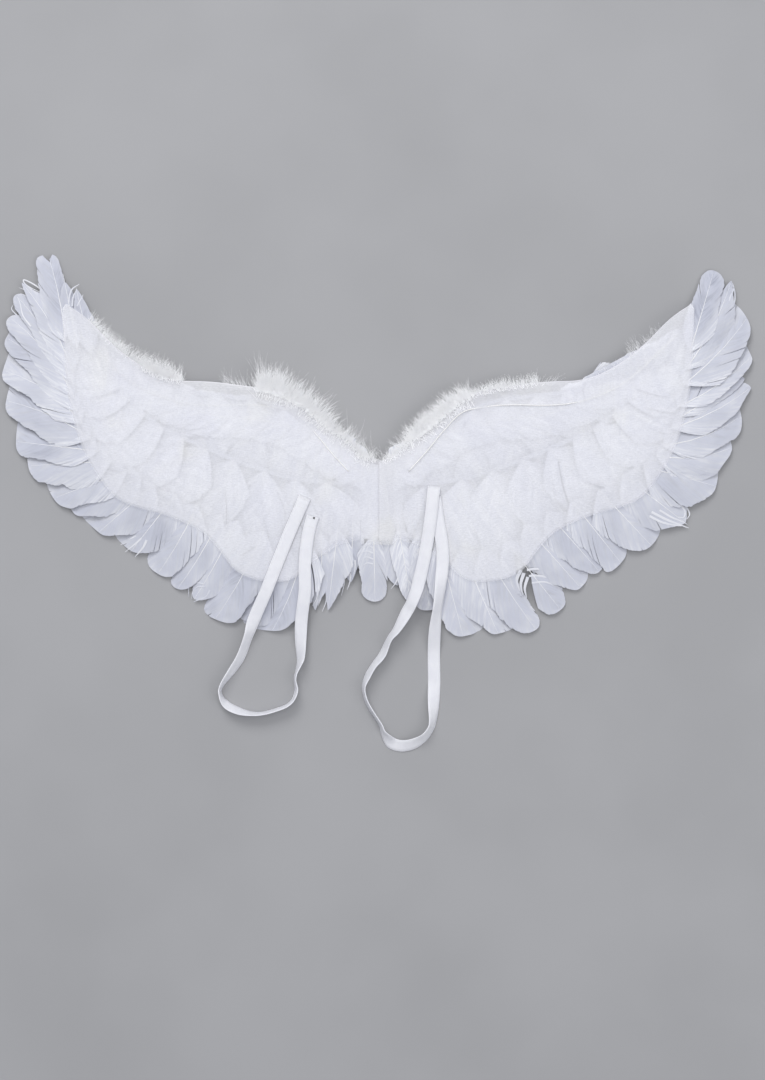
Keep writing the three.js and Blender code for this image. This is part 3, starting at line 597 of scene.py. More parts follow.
# Places where a vane has come apart: the side of the shaft, place along the vane's outline, how
# far the barbs beside it are pushed, and how wide the parting is at the edge in millimetres.
PARTINGS = by_feather({
    1: ((-1, 0.62, 5, 3.0), (-1, 0.8, 4, 2.6)),
    2: ((-1, 0.7, 5, 1.6),),
    3: ((-1, 1.0, 5, 6.0), (1, 1.0, 4, 5.0), (1, 0.6, 5, 1.0)),
    4: ((1, 0.5, 6, 2.0), (1, 0.75, 5, 2.6)),
    5: ((-1, 0.7, 6, 3.6),),
    6: ((-1, 0.75, 5, 3.0), (1, 0.55, 5, 1.2)),
    12: ((-1, 0.93, 4, 2.2),),
    15: ((-1, 0.9, 3, 3.0), (-1, 0.97, 2, 1.6), (1, 0.97, 2, 1.6)),
    17: ((1, 0.96, 3, 1.6),),
    19: ((-1, 0.93, 6, 3.0), (1, 0.7, 6, 1.5)),
    23: ((1, 0.6, 4, 3.0), (-1, 0.55, 4, 2.4)),
    24: ((-1, 0.7, 4, 3.0), (1, 0.8, 3, 2.4)),
}, {
    2: ((1, 0.8, 6, 5.0), (-1, 0.6, 5, 1.2)),
    4: ((-1, 0.8, 3, 1.4),),
    6: ((-1, 0.72, 4, 2.6), (1, 0.9, 4, 1.6)),
    8: ((-1, 0.7, 5, 2.2),),
    10: ((-1, 0.55, 5, 4.0), (-1, 0.75, 4, 3.0), (1, 0.8, 4, 3.0)),
    11: ((-1, 0.9, 4, 2.4),),
    13: ((-1, 0.6, 4, 1.5),),
    14: ((1, 0.5, 3, 2.2), (1, 0.6, 3, 1.6)),
    16: ((1, 0.8, 4, 2.0),),
    17: ((-1, 0.85, 4, 3.0), (1, 0.93, 3, 2.2)),
    20: ((-1, 0.7, 4, 3.0), (-1, 0.85, 3, 2.0)),
})
# Where a vane starts to round off, how blunt its tip is, the widths of its two sides as shares of the
# solid's, how far it reaches as a share of the solid's length, and how far the first side's tip is
# drawn back for each millimetre of width
TIPS = by_feather({
    1: (0.5, 1.35, 0.95, 1.0, 0.94), 2: (0.62, 1.6, 0.9, 0.75, 0.87),
    3: (0.88, 3.0, 1.15, 0.72, 1.0, -0.1), 4: (0.5, 1.3, 1.0, 0.8), 5: (0.78, 2.1, 1.0, 1.1),
    6: (0.76, 2.2, 1.1, 1.1), 7: (0.84, 2.5, 1.05, 2.5, 1.0, 0.35), 8: (0.86, 2.7, 0.9, 2.2, 1.0, 0.35),
    9: (0.86, 2.7, 0.98, 2.2, 1.0, 0.25), 10: (0.86, 2.6, 0.96, 2.05, 0.995, 0.12),
    11: (0.84, 2.4, 1.18, 1.7, 1.0, 0.15), 12: (0.82, 2.3, 1.02, 1.75, 1.0, 0.24),
    13: (0.82, 2.4, 0.72, 2.4, 1.04, 0.1), 14: (0.84, 2.6, 0.78, 2.4, 0.985, 0.2),
    15: (0.8, 1.9, 1.1, 2.2, 0.96, 0.15), 16: (0.8, 2.6, 1.03, 1.15),
    17: (0.82, 2.3, 0.9, 1.0, 0.985, 0.2), 18: (0.74, 1.8, 1.6, 0.8, 0.96),
    19: (0.86, 2.8, 1.3, 1.0, 0.985, 0.12), 20: (0.88, 3.0, 1.4, 1.6),
    21: (0.86, 2.7, 0.7, 1.65, 0.98, 0.3), 22: (0.6, 1.4, 0.5, 1.6), 23: (0.45, 1.25, 1.35, 0.7),
    24: (0.45, 1.3, 0.85, 1.45, 0.95),
}, {
    1: (0.8, 2.4, 0.86, 1.1), 2: (0.6, 1.4, 0.9, 1.15), 3: (0.82, 2.6, 1.5, 0.82, 0.99, -0.3),
    4: (0.86, 2.7, 2.6, 0.5, 1.01, -0.2), 5: (0.7, 1.7, 1.6, 0.9), 6: (0.7, 1.8, 1.5, 0.5),
    7: (0.86, 2.6, 1.65, 1.2, 1.02, -0.2), 8: (0.76, 2.1, 2.4, 0.95), 9: (0.82, 2.3, 1.85, 0.92),
    10: (0.66, 1.6, 1.3, 0.95, 0.94), 11: (0.8, 2.2, 1.3, 0.9, 0.97),
    12: (0.86, 2.8, 0.95, 1.3, 0.99, 0.15), 13: (0.8, 2.4, 1.1, 0.72), 14: (0.84, 2.5, 1.5, 0.75),
    15: (0.88, 2.8, 0.74, 0.95, 1.01), 16: (0.82, 2.5, 0.65, 1.1, 0.99),
    17: (0.88, 2.9, 1.6, 0.7, 0.99, -0.2), 18: (0.8, 2.2, 1.4, 0.72, 0.975, -0.12),
    19: (0.84, 2.5, 1.1, 1.3), 20: (0.7, 1.8, 1.3, 0.85), 21: (0.7, 1.7, 1.2, 1.3),
})
# Stretches of a feather, as shares of its length, where barbs are gone, and the share still there
SPARSE = by_feather({3: (1.008, 1.1, 0.0)}, {15: (0.62, 0.84, 0.38)})
# Feathers whose tips get more or less painted shade than most; right 19 and 20 get almost none at the
# tip, so that they stay light in the straps' cast shadow
PAINTED_SHADES = by_feather(
    {16: 0.75, 17: 0.75, 19: 0.8, 21: 0.8},
    {1: 0.95, 3: 0.9, 12: 0.75, 15: 0.8, 19: 0.02, 20: 0.02},
    centre_feather=0.6,
)


def feather_partings(name, rng):
    """The partings on each side of a feather: those of the table, and a few slight ones."""
    sides = {1: [], -1: []}
    for side, *parting in PARTINGS.get(name, ()):
        sides[side].append(parting)
    for partings in sides.values():
        for _ in range(rng.integers(0, 3)):
            partings.append((rng.uniform(0.5, 0.97), rng.uniform(2, 5), rng.uniform(0.1, 0.5)))
    return sides


def add_feather(shape, blade, rng, name, lock_width=BARB_LOCK_WIDTH):
    tone = rng.random()
    tip = TIPS.get(name) or (rng.uniform(0.7, 0.86), rng.uniform(1.8, 2.9), *rng.uniform(0.96, 1.18, 2))
    blade.shape_tip(*tip)
    partings = feather_partings(name, rng)
    for side in (1, -1):
        vane(shape, blade, side, rng, partings[side], lock_width, tone)
    shaft(shape, blade, tone)


# Barbs that stand apart from a feather: their width in millimetres, and their courses as places in
# the 765 by 1080 photo, from the feather outward.
LOOSE_BARBS = by_feather({
    1: (
        (2.2, (68, 307), (69, 297), (72, 289), (79, 284)),
        (1.8, (72, 306), (73, 297), (77, 289)),
        (1.4, (77, 306), (80, 300), (83, 294)),
    ),
    4: (
        (1.5, (46, 293), (38, 287), (30, 282), (23, 279), (23, 282), (28, 286), (36, 290), (45, 294)),
        (1.3, (46, 298), (36, 294), (26, 290), (18, 287)),
        (1.3, (48, 307), (40, 300), (32, 296), (22, 294)),
    ),
    5: (
        (1.4, (40, 306), (30, 298), (20, 293), (17, 295)),
        (1.5, (30, 326), (22, 315), (19, 303), (16, 296)),
    ),
    6: (
        (1.5, (34, 330), (24, 322), (15, 314), (10, 308), (12, 303)),
    ),
    15: (
        (2.0, (135, 536), (127, 541), (119, 545)),
        (1.8, (141, 538), (133, 545), (124, 552)),
        (2.4, (146, 540), (142, 548), (134, 557)),
    ),
    18: (
        (1.4, (203, 584), (194, 583), (188, 588), (188, 597)),
        (1.3, (204, 587), (197, 587), (192, 592), (191, 599)),
        (2.4, (209, 590), (204, 597), (193, 602)),
    ),
    22: (
        (1.6, (316, 585), (317, 597), (312, 606)),
        (1.3, (322, 578), (322, 594), (318, 606)),
        (1.5, (325, 584), (326, 600), (322, 612)),
    ),
    24: (
        (1.8, (343, 570), (344, 583), (341, 596)),
        (1.6, (349, 568), (350, 580), (347, 590)),
        (1.5, (355, 560), (355, 568), (353, 577)),
    ),
}, {
    2: (
        (1.8, (728, 308), (731, 297), (735, 288), (734, 282)),
        (1.5, (733, 310), (736, 300), (736, 290), (734, 284)),
    ),
    10: (
        (2.2, (668, 500), (679, 501), (687, 506), (691, 514), (688, 519)),
        (2.2, (672, 503), (681, 505), (686, 511), (685, 517), (678, 517)),
        (2.6, (652, 512), (666, 519), (679, 524), (690, 528)),
        (2.4, (650, 516), (662, 522), (675, 525), (686, 526)),
        (2.0, (660, 510), (672, 517), (682, 521), (688, 524)),
    ),
    15: (
        (2.4, (527, 570), (538, 569), (550, 572), (560, 577)),
        (2.2, (529, 576), (541, 576), (553, 580), (563, 586)),
        (1.8, (532, 583), (545, 582), (556, 586), (563, 589)),
        (3.6, (521, 570), (517, 580), (520, 591)),
        (3.4, (524, 573), (521, 584), (523, 595)),
        (3.0, (528, 577), (525, 588), (527, 598)),
    ),
    20: (
        (1.3, (398, 578), (395, 584), (391, 589)),
    ),
}, centre_feather=(
    (1.4, (373, 548), (367, 545), (360, 547)),
    (1.4, (373, 553), (366, 551), (360, 554)),
    (1.4, (373, 559), (366, 557), (361, 560)),
    (1.3, (373, 564), (367, 563), (362, 566)),
))
DIAMOND = ((-1, 0), (0, 1), (1, 0), (0, -1))
LOOSE_LIFT = 0.2 * MM
LOOSE_THICKNESS = 0.24 * MM
LOOSE_TAPER, LOOSE_THINNING = 0.8, 0.5


def loose_barbs(shape, node, blade, tone):
    """Barb locks that lie apart, each along its own course, at the feather's own height."""
    for width, *course in LOOSE_BARBS.get(node, ()):
        plan = in_frame(curve_through(course, 5))
        share = np.linspace(0, 1, len(plan))[:, None]
        offset = plan - blade.root
        line = blade.at(offset @ blade.axis, offset @ blade.across, LOOSE_LIFT)
        line[:, :2] = plan
        half = width / 2 * MM * (1 - LOOSE_TAPER * share ** 2)
        thick = LOOSE_THICKNESS / 2 * (1 - LOOSE_THINNING * share)
        rings = swept(line, DIAMOND, half, thick)
        # painted shade that greys the loose barbs
        shape.tubes(rings[None], edge=0.7, barb=share, tone=tone, shade=0.35)


def feather_shape():
    return Shape("edge", "barb", "tone", "shaft", "shade")


def outer_feather(node, name, blade):
    rng = seeded(node)
    shape = feather_shape()
    # painted shade of this feather: its base amount and what its tip adds
    blade.shade = (BASE_PAINTED_SHADE, PAINTED_SHADES.get(node) or rng.uniform(*USUAL_PAINTED_SHADES))
    blade.sparse = SPARSE.get(node, blade.sparse)
    add_feather(shape, blade, rng, node)
    loose_barbs(shape, node, blade, rng.random())
    return place(shape.make(name, FEATHER), "feather", node)


PRIMARIES = {node: Solid(node).blade() for node in sorted(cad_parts) if "_primary_" in node}


def primaries_of(wing):
    return [blade for node, blade in PRIMARIES.items() if node.startswith(wing)]


for wing, _ in WINGS:
    row = primaries_of(wing)
    for one, other in [*zip(row, row[1:]), *zip(row[1:], row)]:
        one.reach_towards(other.root + NEIGHBOUR_SHARE * other.length * other.axis)
# Beside the hole in the right wing a feather widens less
PRIMARIES["right_primary_16"].least[1] = 0.7
for primary, primary_blade in PRIMARIES.items():
    outer_feather(primary, primary.replace("primary", "outer_feather"), primary_blade)
outer_feather("centre_feather", "centre_hanging_feather", Solid("centre_feather").blade())


# Inner rows of feathers under the cloth

SHEET_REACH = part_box("right_backing")[1].x
SHEET_RISE = 0.203
COVERT_WIDTH = 46 * MM
COVERT_DROOP = 1.25
COVERT_LOCK_WIDTH = 3.0
COVERT_ROOT_HEIGHT = 10.6 * MM
COVERT_TIP_HEIGHT = 2.2 * MM
BINDING_WIDTH = 4 * MM
BINDING_THICKNESS = 0.5 * MM
BINDING_DEPTH = 1.2 * MM
RECTANGLE = ((-1, 1), (1, 1), (1, -1), (-1, -1))
MODEL_FEATHER = PRIMARIES["right_primary_16"]

# Guide points from the wing's tip to the seam, as shares of the cloth's reach and rise:
# the root's x and y, then the tip's x and y.
MIDDLE_ROW = {"count": 10, "guides": (
    (0.83, 0.60, 0.99, 0.88), (0.78, 0.50, 1.03, 0.62), (0.69, 0.38, 0.98, 0.29),
    (0.58, 0.30, 0.80, 0.01), (0.44, 0.21, 0.55, -0.20), (0.28, 0.13, 0.31, -0.40),
    (0.12, 0.10, 0.10, -0.21),
)}
UPPER_ROW = {"count": 7, "guides": (
    (0.68, 0.57, 0.84, 0.62), (0.59, 0.55, 0.74, 0.36), (0.47, 0.53, 0.54, 0.17),
    (0.33, 0.49, 0.35, 0.03), (0.20, 0.37, 0.20, 0.00), (0.10, 0.24, 0.07, 0.00),
)}
TOP_ROW = {"count": 17, "raised": 6 * MM, "width": 34 * MM, "guides": (
    (0.66, 0.50, 0.88, 0.74), (0.50, 0.43, 0.72, 0.51), (0.36, 0.41, 0.58, 0.46),
    (0.22, 0.35, 0.41, 0.43), (0.12, 0.24, 0.27, 0.35), (0.04, 0.14, 0.15, 0.26),
    (0.015, 0.2, 0.02, 0.02), (0.02, 0.09, 0.03, -0.1), (0.03, 0.02, 0.03, -0.19),
)}


def add_row(shape, node, row, side, rng):
    """Short feathers whose quills are bound to one strip."""
    reach = np.array([side * SHEET_REACH, SHEET_RISE] * 2)
    dense = curve_through(np.array(row["guides"]) * reach, 24)
    outline = MODEL_FEATHER.half / MODEL_FEATHER.widest * row.get("width", COVERT_WIDTH) / 2
    tip_z = COVERT_TIP_HEIGHT + row.get("raised", 0.0)
    heights = COVERT_ROOT_HEIGHT + (tip_z - COVERT_ROOT_HEIGHT) * np.array(SECTIONS) ** COVERT_DROOP
    tilt = -abs(MODEL_FEATHER.tilt) * side
    sections = [(0.0, half, height, tilt, MODEL_FEATHER.camber) for half, height in zip(outline, heights)]
    for index in range(row["count"]):
        at = (index + 0.5) / row["count"] * (len(dense) - 1)
        guide = dense[int(at)] + (at % 1) * (dense[int(at) + 1] - dense[int(at)])
        blade = Blade(guide[:2], guide[2:], sections)
        add_feather(shape, blade, rng, f"{node}_{index}", COVERT_LOCK_WIDTH)
    strip = np.insert(dense[:, :2], 2, COVERT_ROOT_HEIGHT - BINDING_DEPTH, axis=1)
    shape.tubes(swept(strip, RECTANGLE, BINDING_WIDTH / 2, BINDING_THICKNESS / 2)[None], edge=0.5)


# A feather of the right wing that lies turned out past the top edge: its root and its tip in the
# photo, its width, and the heights of its two ends
TURNED_ROOT, TURNED_TIP = (672, 350), (585, 387)
TURNED_WIDTH = 21 * MM
TURNED_HEIGHTS = (11.2 * MM, 8.5 * MM)


def add_turned_feather(shape, rng):
    outline = MODEL_FEATHER.half / MODEL_FEATHER.widest * TURNED_WIDTH / 2
    heights = np.interp(SECTIONS, (0, 1), TURNED_HEIGHTS)
    sections = [(0.0, half, height, 0.0, 0.0) for half, height in zip(outline, heights)]
    blade = Blade(in_frame(TURNED_ROOT), in_frame(TURNED_TIP), sections)
    # painted shade, as on the outer feathers
    blade.shade = (0.35, 0.3)
    add_feather(shape, blade, rng, "turned_feather")


def feather_rows(wing, side, level, *rows):
    node = f"{wing}_{level}_feathers"
    rng = seeded(node)
    shape = feather_shape()
    for row in rows:
        add_row(shape, node, row, side, rng)
    if node == "right_upper_feathers":
        add_turned_feather(shape, rng)
    return place(shape.make(f"{wing}_{level}_row", FEATHER), "feather", node)


for wing, wing_side in WINGS:
    feather_rows(wing, wing_side, "middle", MIDDLE_ROW)
    feather_rows(wing, wing_side, "upper", UPPER_ROW, TOP_ROW)


# Cloth backings

SHEET_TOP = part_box("left_backing")[1].z
SHEET_MIDDLE = SHEET_TOP - 0.5 * MM
SEAM_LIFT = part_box("right_backing")[1].z - SHEET_TOP
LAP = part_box("left_backing")[1].x
SHEET_COLUMNS_PER_SPAN = 8
SHEET_ROWS = 64
SHEET_ROW_SPACING = 1.25  # closer together at the lower rim
RIPPLE = 0.4 * MM
FOLD_WIDTHS = (9, 17)  # the least and the greatest, in millimetres
FOLD_BEND, FOLD_BEND_LENGTH = 1.3, 28 * MM
CALM_SHARE = 0.15
LANE_WIDTH = 13 * MM
LANE_BLEND = 18 * MM
LANE_BEFORE = 130 * MM  # how far above a feather's root its lane begins
LANE_END = 30 * MM
HEM_WIDTH = 1.2 * MM
HEM_COVER = 0.8
RIM_DROOP = 0.4 * MM
RIM_WIDTH = 10 * MM
FRAY_WIDTH = 4 * MM
SEAM_FRAY = 2.2  # times as wide near the seam
SEAM_FRAY_TO, SEAM_FRAY_OVER = 55 * MM, 30 * MM
CALM_OVER = 25 * MM  # how far from the seam the cloth begins to fold
LAP_OVER = 18 * MM  # how far from the seam the upper sheet comes down


class Outline:
    """The edges of a backing sheet at distances from the seam, read from its solid."""

    def __init__(self, node, side):
        points = np.array([vertex.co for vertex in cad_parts[node].data.vertices])
        out = np.round(side * points[:, 0], 4)
        self.stations = np.unique(out)
        self.low = np.array([points[out == station, 1].min() for station in self.stations])
        self.high = np.array([points[out == station, 1].max() for station in self.stations])

    def high_at(self, out):
        return smooth_through(self.stations, self.high, out)


OUTLINES = {side: Outline(f"{wing}_backing", side) for wing, side in WINGS}


def ripple(wing, x, y):
    """Soft folds of the cloth along the feathers below it, and each place's lane and run along them."""
    rng = seeded(wing + "_ripple")
    total, lane, distance, nearness = (np.zeros_like(x) for _ in range(4))
    weights = np.full_like(x, CALM_SHARE)
    for index, blade in enumerate(primaries_of(wing)):
        offset = np.stack([x, y], -1) - blade.root
        run = offset @ blade.axis
        side = offset @ blade.across
        past = np.maximum(0, np.maximum(-run - LANE_BEFORE, run - blade.length))
        weight = np.exp(-(side / LANE_WIDTH) ** 2 - (past / LANE_END) ** 2)
        phase = 2 * math.pi * (side / (rng.uniform(*FOLD_WIDTHS) * MM) + rng.random())
        total += weight * np.sin(phase + FOLD_BEND * np.sin(run / FOLD_BEND_LENGTH + rng.random() * 6))
        weights += weight
        near = (side ** 2 + (past / 2) ** 2 + (LANE_BLEND / 2) ** 2) ** -2
        lane += near * index
        distance += near * run
        nearness += near
    return RIPPLE * total / weights, lane / nearness, distance / nearness


def backing(wing, side):
    """A sheet of sheer cloth. The right one laps over the left one at the seam."""
    outline = OUTLINES[side]
    edges = np.column_stack([outline.stations, outline.low, outline.high])
    edges = curve_through(edges, SHEET_COLUMNS_PER_SPAN)
    share = np.linspace(0, 1, SHEET_ROWS) ** SHEET_ROW_SPACING
    out, low, high = (np.repeat(column[:, None], SHEET_ROWS, 1) for column in edges.T)
    x, y = side * out, low + (high - low) * share
    calm = eased((out - LAP) / CALM_OVER)
    slope = np.gradient(edges[:, 1], edges[:, 0])[:, None]
    from_rim = share * (high - low) / np.hypot(1, slope)
    folds, lane, distance = ripple(wing, x, y)
    z = SHEET_MIDDLE + calm * folds - calm * RIM_DROOP * (1 - eased(from_rim / RIM_WIDTH))
    if side > 0:
        z = z + SEAM_LIFT * (1 - eased((out - LAP) / LAP_OVER))
    fray = FRAY_WIDTH * (SEAM_FRAY - (SEAM_FRAY - 1) * eased((out - SEAM_FRAY_TO) / SEAM_FRAY_OVER))
    rim = 1 - eased(from_rim / fray)
    hem = np.where((1 - share) * (high - low) < HEM_WIDTH, HEM_COVER, 0.0)
    half = SHEET_THICKNESS * MM / 2
    faces = [np.stack([x, y, z + half], -1), np.stack([x, y, z - half], -1)[:, ::-1]]
    values = {"hem": hem, "rim": rim, "lane": lane, "along": distance}
    values = {name: np.concatenate([value, value[:, ::-1]], 1) for name, value in values.items()}
    shape = Shape(*values)
    shape.slab(np.concatenate(faces, 1), **values)
    piece = shape.make(f"{wing}_cloth_backing", CLOTH, smooth=True)
    sheet = place(piece, "backing_cloth", f"{wing}_backing")
    return sheet


backing("left", -1)
backing("right", 1)


# Edge wires

# Heights of the wire's middle above the sheet's solid in millimetres, where it is pressed under the
# cloth and where it shows, and the place from which it is pressed, as a share of the cloth's reach
WIRE_LEVELS = {-1: (-1.5, -0.5), 1: (-0.9, WIRE_RADIUS)}
WIRE_BARE_TO = {-1: 0.18, 1: 0.27}
WIRE_BARE_STRETCH = (0.36, 0.6)  # a second bare stretch, on the right wing only
WIRE_DIP, WIRE_STRETCH_DIP = 0.05, 0.03  # how long it takes to dip at the ends of the two


def edge_wire(wing, side):
    """Thin covered wire along the line of its solid, partly pressed under the cloth."""
    points = np.array([vertex.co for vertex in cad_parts[f"{wing}_edge_wire"].data.vertices])
    points = points[np.argsort(side * points[:, 0])]
    groups = np.split(points, np.flatnonzero(np.diff(side * points[:, 0]) > 5 * MM) + 1)
    line = curve_through([(group.min(0) + group.max(0)) / 2 for group in groups], 8)
    share = side * line[:, 0] / SHEET_REACH
    bare = 1 - eased((share - WIRE_BARE_TO[side]) / WIRE_DIP)
    if side > 0:
        first, last = (eased((share - at) / WIRE_STRETCH_DIP) for at in WIRE_BARE_STRETCH)
        bare = np.maximum(bare, first - last)
    low, high = WIRE_LEVELS[side]
    line[:, 2] = SHEET_TOP + (low + (high - low) * bare) * MM
    shape = Shape()
    shape.tubes(swept(line, circle(8), WIRE_RADIUS * MM, WIRE_RADIUS * MM)[None])
    return place(shape.make(f"{wing}_top_wire", WIRE, smooth=True), "edge_wire", f"{wing}_edge_wire")


for wing, wing_side in WINGS:
    edge_wire(wing, wing_side)


# Elastic shoulder loops

STRAP_FALL = 0.242
STRAP_CLEARANCE = 0.3
STRAP_ON_SHEET = SHEET_TOP + (STRAP_CLEARANCE + STRAP_THICKNESS / 2) * MM
STRAP_TOP = STRAP_ON_SHEET + STRAP_THICKNESS / 2 * MM
STRAP_STEPS = 7
MOST_TWIST = 80

# Outward place as a share of the cloth's reach, height as a share of the loop's fall, how far up
# from the floor to the cloth, and the twist in degrees.
LEFT_STRAP = (
    (0.233, 0.029, 1, 0), (0.286, -0.132, 1, 0), (0.337, -0.298, 1, 0), (0.357, -0.364, 0.95, 0),
    (0.394, -0.474, 0.6, 10), (0.412, -0.545, 0.3, 46), (0.437, -0.632, 0.05, 48),
    (0.465, -0.69, 0, 56), (0.498, -0.752, 0, 76), (0.502, -0.789, 0, 80), (0.483, -0.831, 0, 58),
    (0.445, -0.857, 0, 60), (0.4, -0.869, 0, 76), (0.362, -0.866, 0, 80), (0.321, -0.851, 0, 80),
    (0.291, -0.835, 0, 80), (0.271, -0.81, 0, 78), (0.261, -0.771, 0, 74), (0.265, -0.731, 0, 80),
    (0.262, -0.702, 0, 80), (0.252, -0.664, 0, 66), (0.247, -0.632, 0.05, 48), (0.247, -0.553, 0.3, 20),
    (0.244, -0.474, 0.6, 0), (0.233, -0.355, 0.95, 0), (0.233, -0.248, 1, 0), (0.224, -0.135, 1, 0),
    (0.208, -0.05, 1, 0),
)
RIGHT_STRAP = (
    (0.176, 0.074, 1.15, 0), (0.158, -0.124, 1.11, 0), (0.131, -0.306, 1, 0), (0.108, -0.399, 0.8, 25),
    (0.088, -0.45, 0.55, 25), (0.058, -0.519, 0.3, 53), (0.034, -0.56, 0.15, 66),
    (0.012, -0.624, 0, 57), (-0.015, -0.669, 0, 65), (-0.035, -0.714, 0, 64), (-0.047, -0.758, 0, 76),
    (-0.042, -0.803, 0, 77), (-0.027, -0.847, 0, 75), (0.006, -0.914, 0, 75), (0.016, -0.949, 0, 64),
    (0.04, -0.989, 0, 20), (0.066, -1.002, 0, 18), (0.092, -1.001, 0, 24), (0.12, -0.989, 0, 34),
    (0.147, -0.965, 0, 52), (0.166, -0.93, 0, 58), (0.172, -0.901, 0, 54), (0.174, -0.87, 0, 42),
    (0.1755, -0.803, 0, 16), (0.177, -0.736, 0, 0), (0.176, -0.624, 0.05, 0), (0.178, -0.533, 0.45, 15),
    (0.185, -0.446, 0.7, 40), (0.19, -0.397, 0.85, 40), (0.196, -0.335, 0.97, 25), (0.203, -0.24, 1, 0),
    (0.2, -0.155, 1, 0), (0.187, -0.06, 1, 0), (0.178, 0.03, 1, 0),
)
# A strap's section: sideways as a share of half its width, level as a share of half its thickness
STRAP_SECTION = np.array((
    (-1, 0.35), (-0.95, 0.95), (-0.5, 1), (0, 1), (0.5, 1), (0.95, 0.95), (1, 0.35),
    (1, -0.35), (0.95, -0.95), (0.5, -1), (0, -1), (-0.5, -1), (-0.95, -0.95), (-1, -0.35),
))


def on_route(side, route):
    """The frame's x and y of a strap's places."""
    return np.asarray(route)[..., :2] * (side * SHEET_REACH, STRAP_FALL)


def shoulder_loop(wing, side, route):
    dense = curve_through(route, STRAP_STEPS)
    places = np.insert(on_route(side, dense), 2, 0.0, axis=1)
    turn = np.radians(np.clip(dense[:, 3], 0, MOST_TWIST))[:, None]
    rise = np.maximum(dense[:, 2], 0)
    sideways = side * np.cross(UP, unit(np.gradient(places, axis=0)))
    lying = STRAP_THICKNESS / 2 * MM
    half = STRAP_WIDTH / 2 * MM
    propped = half * np.sin(turn) - lying * (1 - np.cos(turn))
    places[:, 2] = lying + rise * (STRAP_ON_SHEET - lying) + propped[:, 0]
    wide = half * (sideways * np.cos(turn) + UP * np.sin(turn))
    thick = lying * (UP * np.cos(turn) - sideways * np.sin(turn))
    rings = places[:, None] + STRAP_SECTION[:, :1] * wide[:, None]
    rings = rings + STRAP_SECTION[:, 1:] * thick[:, None]
    along = np.concatenate([[0], np.cumsum(np.linalg.norm(np.diff(places, axis=0), axis=1))]) / MM
    shape = Shape("along", "across")
    shape.tubes(rings[None], along=along[:, None], across=STRAP_SECTION[:, 0])
    return place(shape.make(f"{wing}_shoulder_loop", ELASTIC, smooth=True), "elastic", f"{wing}_strap")


# Stitching on the straps' ends

STITCH_LENGTH = 2.2
STITCH_RADIUS = 0.22
STITCH_REACH = 0.42  # each way from the middle, as a share of the stitch length
STITCH_DEPTHS = (2.5, 11.0)
STITCH_INSET = 2
LAPPED_END_LIFT = 0.15  # of the seam's lift, under the right strap's upper end


def stitch_row(shape, start, end, height):
    """A row of thread stitches from start to end, in the plane of the strap."""
    count = max(2, int(round(np.linalg.norm(end - start) / (STITCH_LENGTH * MM))))
    along = np.linspace(-STITCH_REACH, STITCH_REACH, 7)
    radius = STITCH_RADIUS * MM
    arch = height + radius * (1.2 * (1 - (along / STITCH_REACH) ** 2) - 0.4)
    for index in range(count):
        plan = start + (index + 0.5 + along[:, None]) / count * (end - start)
        shape.tubes(swept(np.column_stack([plan, arch]), circle(6), radius, radius)[None])


def strap_stitches(wing, side, route):
    shape = Shape()
    places = on_route(side, route)
    for end, inward in ((0, 1), (-1, -2)):
        down = unit(places[inward] - places[end])
        across = square_to(down) * (STRAP_WIDTH / 2 - STITCH_INSET) * MM
        height = STRAP_TOP + (SEAM_LIFT * LAPPED_END_LIFT if side > 0 and end == 0 else 0)
        for depth in STITCH_DEPTHS:
            row = places[end] + down * depth * MM
            stitch_row(shape, row - across, row + across, height)
    return place(shape.make(f"{wing}_strap_stitches", THREAD, smooth=True), "elastic")


for make in (shoulder_loop, strap_stitches):
    make("left", -1, LEFT_STRAP)
    make("right", 1, RIGHT_STRAP)


# The dark tack on the left wing

TACK_PLACE = (314, 518)  # in the photo
TACK_RADIUS = 1.1
TACK_THREAD_RADIUS = 0.28
TACK_TURNS = 5
TACK_LIFT, TACK_RISE = 0.2, 0.12  # of the first thread, and of each one over those before it


def dark_tack():
    """A flat knot of dark thread, sewn through the cloth."""
    rng = seeded("tack")
    shape = Shape()
    along = np.linspace(-1, 1, 9)
    radius = TACK_THREAD_RADIUS * MM
    for turn in range(TACK_TURNS):
        angle = turn * 0.7 + rng.uniform(-0.2, 0.2)
        reach = np.array([math.cos(angle), math.sin(angle)]) * TACK_RADIUS * MM
        arch = STRAP_TOP + (TACK_LIFT + TACK_RISE * turn * (1 - along ** 2)) * MM
        line = np.column_stack([in_frame(TACK_PLACE) + along[:, None] * reach, arch])
        shape.tubes(swept(line, circle(6), radius, radius)[None])
    return place(shape.make("left_thread_tack", TACK, smooth=True), "elastic")


dark_tack()


# Down along the top edge

HAIR_SHARES = np.linspace(0, 1, 5)
LAST_SPAN = len(HAIR_SHARES) - 1
HAIR_TAPER = 0.85
HAIR_CORNERS = np.radians((30, 150, 270))
LEAST_DOWN_HEIGHT = 0.6 * MM
# How far from the cloth's edge strands spring, how high, and how steeply they climb, in millimetres:
# from above the cloth's top, from below it, measured from the floor, and from the cloth's middle
ABOVE_INSET, ABOVE_RISE, ABOVE_CLIMB = (-1, 5), (0.1, 0.8), (0.02, 0.32)
BELOW_INSET, BELOW_RISE, BELOW_CLIMB = (0, 5), (6.5, 12.0), (-0.12, 0.38)
PILE_DEPTH, PILE_RISE, PILE_CLIMB = 13, (-0.4, 0.1), (0.05, 0.13)
STRAND_CURL = 0.16
# Where barbules stand on a strand, how much shorter they are at its end, and how they lean: along
# the strand, out from it, and up or down
BARBULE_CORNERS = np.radians((0, 120, 240))
BARBULE_PLACES = (0.08, 0.96)
BARBULE_SHORTER = 0.55
BARBULE_ALONG, BARBULE_OUT, BARBULE_UP = 0.75, 0.6, 0.35

